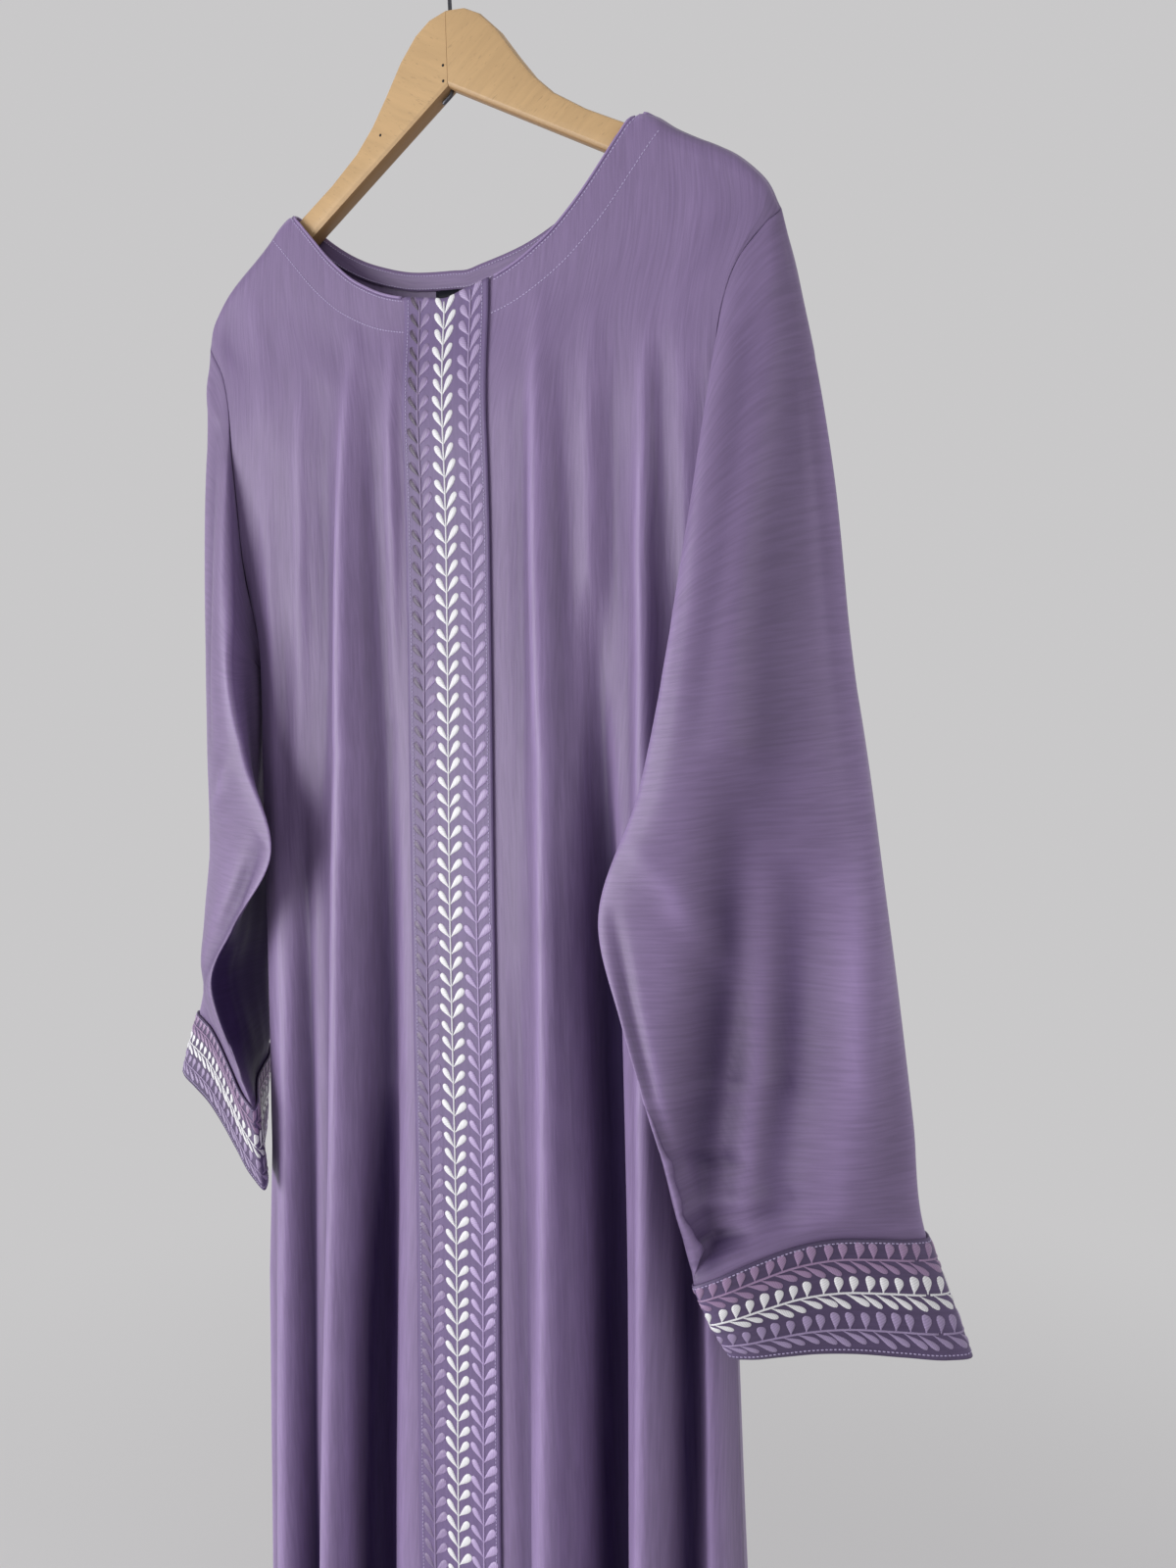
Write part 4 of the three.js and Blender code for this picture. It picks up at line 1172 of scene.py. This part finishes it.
class ABAYA_OT_embroidery(bpy.types.Operator):
    """Embroiders three leaf vines down the front band and round each cuff"""

    bl_idname = "abaya.embroidery"
    bl_label = "Leaf vines"

    def execute(self, context):
        thread = context.scene.abaya_embroidery
        top, hem = CAD_BOX[1].z - 0.26, CAD_BOX[0].z
        middle = (top + hem) / 2
        # Painted light and shade: the band's leaf threads are drawn darker near the neck, and the
        # tone-on-tone vine's plum leaves are its mauve thread drawn darker still, paling to mauve
        # at the hem.
        mauve_shaded_top, mauve_lit_hem = shade(thread.mauve, 0.94), shade(thread.mauve, 1.2)
        self.threads = {
            "white": thread_material("white_satin_stitch", [(0, thread.white)]),
            "lilac": thread_material("lilac_satin_stitch", [
                (top, shade(thread.lilac, 0.78)), (middle, thread.lilac),
                (hem, shade(thread.lilac, 0.84))]),
            "mauve": thread_material(
                "mauve_satin_stitch", [(top, mauve_shaded_top), (hem, mauve_lit_hem)],
                shade(thread.mauve, 1.6)),
            "plum": thread_material(
                "painted_shade_mauve_stitch", [
                    (top, thread.plum), (middle, shade(thread.mauve, 0.62)),
                    (hem, thread.mauve)], shade(thread.mauve, 1.1)),
            "pink": thread_material("pink_mauve_satin_stitch", [(0, thread.pink)]),
            "violet": thread_material("violet_satin_stitch", [(0, shade(thread.lilac, 0.7))]),
        }
        self.front(thread)
        fat = model_leaf(10.2 * MM, 5.6 * MM, thread.relief, 0.7)
        slender = model_leaf(14.0 * MM, 4.2 * MM, thread.relief, 0.4)
        for side in ("right", "left"):
            self.cuff(thread, side, fat, slender)
        bpy.data.objects.remove(fat)
        bpy.data.objects.remove(slender)
        return {"FINISHED"}

    def front(self, thread):
        """Vines down the front band, at these places across it from its middle."""
        sheet = SHEETS["front_band"]
        leaf = model_leaf(thread.leaf, thread.width, thread.relief, 0.75)
        middle = sheet.across[:, -1].mean() / 2
        length = sheet.down[-1]
        vines = (
            # The tonal vine's right-hand leaves take the painted-shade copy of its mauve thread.
            ("tonal", -21.0 * MM, {"right": "plum", "left": "mauve"}, "mauve", 0.98),
            ("white", -0.8 * MM, {"right": "white", "left": "white"}, "white", 0.95),
            ("lilac", 20.6 * MM, {"right": "lilac", "left": "lilac"}, "lilac", 1.02),
        )
        for number, (word, place, leaves, stem, size) in enumerate(vines):
            draw = random.Random(31 + number)

            def swaying(down):
                """Where the stem runs: nearly straight, as a hand guides it."""
                return middle + place + 0.6 * MM * np.sin(down * 9 + number)

            placements = {-1: [], 1: []}
            for base in np.arange(11 * MM, length - 2 * MM, thread.pitch):
                # Leaves open from 33 degrees at the neck to 43 degrees 400 mm below it.
                opening = 33 + 10 * min(base / 0.4, 1)
                for side in (-1, 1):
                    at = base + draw.uniform(-0.5, 0.5) * MM
                    angle = math.radians(side * (opening + draw.uniform(-4, 4)))
                    scale = size * draw.uniform(0.94, 1.05) * (1.04 if side > 0 else 0.97)
                    placements[side].append((float(swaying(at)), at, angle, scale))
            for side, hand in ((-1, "right"), (1, "left")):
                piece = bent_copies(
                    f"front_band_{word}_leaves_{hand}", leaf, placements[side], sheet)
                finish_piece(piece, self.threads[leaves[hand]], "embroidered_band")
            down = np.arange(0.5 * MM, length - 1 * MM, 3 * MM)
            seam = sheet.seam(sheet.cells(swaying(down), down), 4 * MM)
            piece = cord(f"front_band_{word}_stem", [seam], thread.stem, 0.8 * thread.relief)
            finish_piece(piece, self.threads[stem], "embroidered_band")
        bpy.data.objects.remove(leaf)

    def cuff(self, thread, side, fat, slender):
        """Vines round a cuff: fat upright leaves above each stem, slender ones below."""
        sheet = SHEETS[f"{side}_cuff_band"]
        height = sheet.down[-1]
        girth = sheet.across[:, -1].mean()
        right = sheet.rightward()
        vines = (("top", 0.18, "pink"), ("middle", 0.475, "white"), ("bottom", 0.79, "violet"))
        count = round(girth / thread.cuff_pitch)
        for number, (word, share, colour) in enumerate(vines):
            draw = random.Random(57 + number + (7 if side == "left" else 0))
            upper, lower = [], []
            for i in range(count):
                along = i * girth / count
                upper.append((
                    along + draw.uniform(-0.5, 0.5) * MM, share * height,
                    right * math.radians(draw.uniform(14, 26)), draw.uniform(0.92, 1.04)))
                lower.append((
                    along + (3 + draw.uniform(-0.5, 0.5)) * MM * right, share * height,
                    right * math.radians(draw.uniform(118, 128)), draw.uniform(0.9, 1.03)))
            for model, places, hand in ((fat, upper, "upper"), (slender, lower, "lower")):
                piece = bent_copies(f"{side}_cuff_{word}_{hand}_leaves", model, places, sheet)
                finish_piece(piece, self.threads[colour], "embroidered_band")
            along = np.linspace(0, girth, 3 * count)
            seam = sheet.seam(sheet.cells(along, share * height), 3 * MM)
            stem = cord(f"{side}_cuff_{word}_stem", [seam], thread.stem, 0.8 * thread.relief)
            finish_piece(stem, self.threads[colour], "embroidered_band")


def neck_offset(sheet, distance):
    """The neckline of a panel moved so far down into the cloth, as places (x, z)."""
    edge = sheet.points[0]
    edge = edge[np.abs(edge[:, 0]) <= NECK_HALF + MM][:, [0, 2]]
    steps = np.gradient(edge, axis=0)
    away = np.stack([steps[:, 1], -steps[:, 0]], axis=1)
    away /= np.linalg.norm(away, axis=1, keepdims=True)
    away *= np.where(away[:, 1:] > 0, -1, 1)
    return edge + away * distance


class ABAYA_OT_stitching(bpy.types.Operator):
    """Sews the topstitches: neckline, facing line, band, cuffs, neck strip and hem"""

    bl_idname = "abaya.stitching"
    bl_label = "Topstitching"

    def execute(self, context):
        thread = context.scene.abaya_embroidery
        colour = thread_material("mauve_sewing_thread", [(0, thread.sewing)])
        dark = thread_material("plum_sewing_thread", [(0, shade(thread.sewing, 0.62))])
        self.pitch = thread.stitch
        self.stitch = model_stitch(1.8 * MM, 0.85 * MM, 0.5 * MM)
        for name, slot, seams, material in (
                ("neckline", "crepe", self.neckline(), colour),
                ("front_band", "embroidered_band", self.band(), colour),
                ("neck_strip", "crepe", self.strip(), colour),
                ("right_cuff", "embroidered_band", self.cuff("right"), colour),
                ("left_cuff", "embroidered_band", self.cuff("left"), colour),
                ("hem", "crepe", self.hem(), dark)):
            piece = sewn_copies(f"{name}_stitches", self.stitch, seams)
            finish_piece(piece, material, slot)
        bpy.data.objects.remove(self.stitch)
        self.rolled_edge()
        return {"FINISHED"}

    def line(self, name, places):
        """Stitches through places (x, z) of a panel, leaving out those off its edge."""
        sheet = SHEETS[name]
        cells = sheet.cells_near(places)
        points = sheet.at_cells(*cells)[0]
        kept = np.linalg.norm(points[:, [0, 2]] - places, axis=1) < 1.5 * MM
        if "front" in name:
            kept &= np.abs(places[:, 0]) > BAND_HALF
        return sheet.seam(cells[:, kept], self.pitch)

    def neckline(self):
        """Two rows on each panel: by the neck's edge, and where the facing ends."""
        seams = []
        for name in PANELS:
            for distance in (2.4 * MM, 23 * MM):
                seams.append(self.line(name, neck_offset(SHEETS[name], distance)))
        return seams

    def band(self):
        """A row inside each long edge of the band."""
        sheet = SHEETS["front_band"]
        down = np.arange(1.5 * MM, sheet.down[-1] - MM, 4 * MM)
        width = sheet.across[:, -1].min()
        return [sheet.seam(sheet.cells(at, down), self.pitch)
                for at in (3.4 * MM, width - 3.2 * MM)]

    def rows(self, sheet, along, under, over):
        """A row so far under a piece's top edge and one so far over its lower edge."""
        return [sheet.seam(sheet.cells(along, down), self.pitch)
                for down in (under, sheet.down[-1] - over)]

    def strip(self):
        """Rows along the facing strip inside the back neck."""
        sheet = SHEETS["back_neck_strip"]
        along = np.arange(2 * MM, sheet.across[0, -1] - 2 * MM, 3 * MM)
        return self.rows(sheet, along, 2.6 * MM, 1.4 * MM)

    def cuff(self, side):
        """Rows round a cuff band."""
        sheet = SHEETS[f"{side}_cuff_band"]
        along = np.linspace(0, sheet.across[:, -1].mean(), 150)
        return self.rows(sheet, along, 2 * MM, 2.4 * MM)

    def hem(self):
        """A row at the top of the hem's turning, on the fronts and the back."""
        seams = []
        for name in PANELS:
            sheet = SHEETS[name]
            along = np.arange(2 * MM, sheet.across[-1, -1] - 2 * MM, 5 * MM)
            cells = sheet.cells(along, sheet.down[-1] - HEM)
            if "front" in name:
                x = sheet.at_cells(*cells)[0][:, 0]
                cells = tuple(c[np.abs(x) > BAND_HALF + MM] for c in cells)
            seams.append(sheet.seam(cells, self.pitch))
        return seams

    def rolled_edge(self):
        """The neckline's turned edge, a soft roll a little fuller than the wall."""
        seams = []
        for name in PANELS[:2]:
            sheet = SHEETS[name]
            x = np.abs(sheet.points[0][:, 0])
            columns = np.flatnonzero((x <= NECK_HALF) & (x > BAND_HALF - 0.5 * MM)).astype(float)
            seams.append(sheet.seam((np.full_like(columns, 0.05), columns), 3 * MM))
        piece = cord("neckline_rolled_edge", seams, 1.9 * MM, 0.7 * MM)
        finish_piece(piece, bpy.data.materials["mauve_crepe_body"], "crepe")


# ---------------------------------------------------------------- operators: hanger
def merged_copy(node, name):
    """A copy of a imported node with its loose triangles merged."""
    piece = bpy.data.objects.new(name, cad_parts[node].data.copy())
    bpy.context.scene.collection.objects.link(piece)
    activate(piece)
    bpy.ops.object.mode_set(mode="EDIT")
    bpy.ops.mesh.select_all(action="SELECT")
    bpy.ops.mesh.remove_doubles(threshold=0.005 * MM)
    bpy.ops.mesh.dissolve_limited(angle_limit=math.radians(0.5))
    bpy.ops.object.mode_set(mode="OBJECT")
    return piece


class ABAYA_OT_hanger(bpy.types.Operator):
    """Finishes the wooden halves and the wire hook"""

    bl_idname = "abaya.hanger"
    bl_label = "Hanger and hook"

    def execute(self, context):
        hanger = context.scene.abaya_hanger
        for side, slope in (("right", -33), ("left", 33)):
            node = f"hanger_{side}_half"
            piece = merged_copy(node, f"{node}_wood")
            bpy.ops.object.shade_smooth_by_angle(angle=math.radians(32))
            material = beech_material(f"lacquered_beech_{side}", hanger.beech, hanger.grain, slope)
            finish_piece(piece, material, "beech", node)
        self.nails(hanger)
        hook = merged_copy("hanger_hook", "hanger_hook_wire")
        apply_modifier(hook, "SUBSURF", levels=2, render_levels=2)
        bpy.ops.object.shade_smooth()
        finish_piece(hook, wire_material("drawn_steel_wire", hanger.steel), "steel_wire",
                     "hanger_hook")
        return {"FINISHED"}

    def nails(self, hanger):
        """Small sunk nail heads in the front face, dark with age."""
        material = wire_material("aged_nail_steel", shade(hanger.steel, 0.25))
        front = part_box("hanger_right_half")[0].y
        places = ((-3.2, -102.5), (-3.4, -112.6), (-57.5, -134.2))       # x, z in millimetres
        for number, (x, z) in enumerate(places, start=1):
            deselect_all()
            bpy.ops.mesh.primitive_uv_sphere_add(
                segments=14, ring_count=8, radius=1, location=(0, 0, 0))
            nail = bpy.context.object
            nail.name = f"hanger_nail_{number}"
            nail.scale = (1.0 * MM, 0.35 * MM, 1.0 * MM)
            nail.location = (x * MM, front, z * MM)
            bpy.ops.object.transform_apply(location=True, rotation=True, scale=True)
            bpy.ops.object.shade_smooth()
            finish_piece(nail, material, "steel_wire")


# ---------------------------------------------------------------- operators: stage
class ABAYA_OT_stage(bpy.types.Operator):
    """Sets the pale floor and backdrop, the soft lights and the camera"""

    bl_idname = "abaya.stage"
    bl_label = "Stage, lights and camera"

    def execute(self, context):
        stage = context.scene.abaya_stage
        self.floor(stage)
        self.lights(stage)
        self.camera()
        context.scene.view_settings.view_transform = "Standard"
        return {"FINISHED"}

    def floor(self, stage):
        """A wide round floor of background paper."""
        level = CAD_BOX[0].z - stage.drop
        deselect_all()
        bpy.ops.mesh.primitive_circle_add(
            vertices=64, radius=40, fill_type="NGON", location=(0, 0, level))
        paper = bpy.context.object
        paper.name = "background_paper"
        bpy.ops.object.transform_apply(location=True, rotation=True, scale=True)
        paper.data.materials.append(paper_material(stage, level))
        paper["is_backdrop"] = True

    def lights(self, stage):
        """A large soft key from the left, a weaker fill and soft light from all round."""
        # Each lamp's name, place, target, power and width.
        lamps = (
            ("key", (-2.6, -2.7, -0.7), (0, 0, -0.8), stage.key, 2.8),
            ("fill", (2.4, -1.5, 0.3), (0.2, 0, -0.7), stage.fill, 1.6),
        )
        for name, place, target, power, size in lamps:
            lamp = bpy.data.lights.new(name, "AREA")
            lamp.energy = power
            lamp.shape = "SQUARE"
            lamp.size = size
            light = bpy.data.objects.new(name, lamp)
            bpy.context.scene.collection.objects.link(light)
            light.location = place
            aim = Vector(target) - Vector(place)
            light.rotation_euler = aim.to_track_quat("-Z", "Y").to_euler()
        world = bpy.data.worlds.new("pale_room")
        bpy.context.scene.world = world
        world.use_nodes = True
        tree = world.node_tree
        ground = tree.nodes["Background"]
        ground.inputs["Color"].default_value = stage.paper
        direction = add_node(tree, "ShaderNodeTexCoord").outputs["Generated"]
        tree.links.new(room_light(tree, direction, stage), ground.inputs["Strength"])

    def camera(self):
        """Near three-quarter view from the wearer's left, level with the upper chest, turned a
        little clockwise."""
        place = (0.463, -0.678, -0.536)
        yaw, pitch, roll = (math.radians(a) for a in (28.81, -3.5, -1.46))
        ahead = Vector((
            -math.sin(yaw) * math.cos(pitch), math.cos(yaw) * math.cos(pitch), math.sin(pitch)))
        level = Vector((math.cos(yaw), math.sin(yaw), 0))
        upright = level.cross(ahead)
        right = level * math.cos(roll) + upright * math.sin(roll)
        up = upright * math.cos(roll) - level * math.sin(roll)
        data = bpy.data.cameras.new("camera")
        data.lens = 27
        data.sensor_width = 36
        camera = bpy.data.objects.new("camera", data)
        bpy.context.scene.collection.objects.link(camera)
        turn = Matrix((right, up, -ahead)).transposed().to_4x4()
        camera.matrix_world = Matrix.Translation(place) @ turn
        bpy.context.scene.camera = camera


class ABAYA_PT_sidebar(bpy.types.Panel):
    """Lists the robe's pieces"""

    bl_idname = "ABAYA_PT_sidebar"
    bl_label = "Abaya"
    bl_space_type = "VIEW_3D"
    bl_region_type = "UI"
    bl_category = "Abaya"

    def draw(self, context):
        for operator in OPERATORS:
            self.layout.operator(operator.bl_idname)
        for name in SETTINGS:
            group = getattr(context.scene, name)
            for prop in group.bl_rna.properties:
                if prop.identifier not in ("rna_type", "name"):
                    self.layout.prop(group, prop.identifier)


OPERATORS = (
    ABAYA_OT_body_panels, ABAYA_OT_sleeves, ABAYA_OT_bands, ABAYA_OT_neck_trim,
    ABAYA_OT_embroidery, ABAYA_OT_stitching, ABAYA_OT_hanger, ABAYA_OT_stage,
)
SETTINGS = {
    "abaya_cloth": AbayaCloth, "abaya_embroidery": AbayaEmbroidery,
    "abaya_hanger": AbayaHanger, "abaya_stage": AbayaStage,
}


def register():
    """Registers the settings, operators and panel."""
    for group in SETTINGS.values():
        bpy.utils.register_class(group)
    for kind in (*OPERATORS, ABAYA_PT_sidebar):
        bpy.utils.register_class(kind)
    for name, group in SETTINGS.items():
        setattr(bpy.types.Scene, name, bpy.props.PointerProperty(type=group))


def unregister():
    """Takes the settings, operators and panel away again."""
    for name in SETTINGS:
        delattr(bpy.types.Scene, name)
    for kind in (ABAYA_PT_sidebar, *reversed(OPERATORS), *SETTINGS.values()):
        bpy.utils.unregister_class(kind)


def main():
    """Builds every piece in order."""
    register()
    bpy.ops.abaya.body_panels()
    bpy.ops.abaya.sleeves()
    bpy.ops.abaya.bands()
    bpy.ops.abaya.neck_trim()
    bpy.ops.abaya.embroidery()
    bpy.ops.abaya.stitching()
    bpy.ops.abaya.hanger()
    bpy.ops.abaya.stage()
    deselect_all()
    boxes = {"cad": CAD_BOX, "visual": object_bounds()}
    {name: [list(low), list(high)] for name, (low, high) in boxes.items()}


if __name__ == "__main__":
    main()
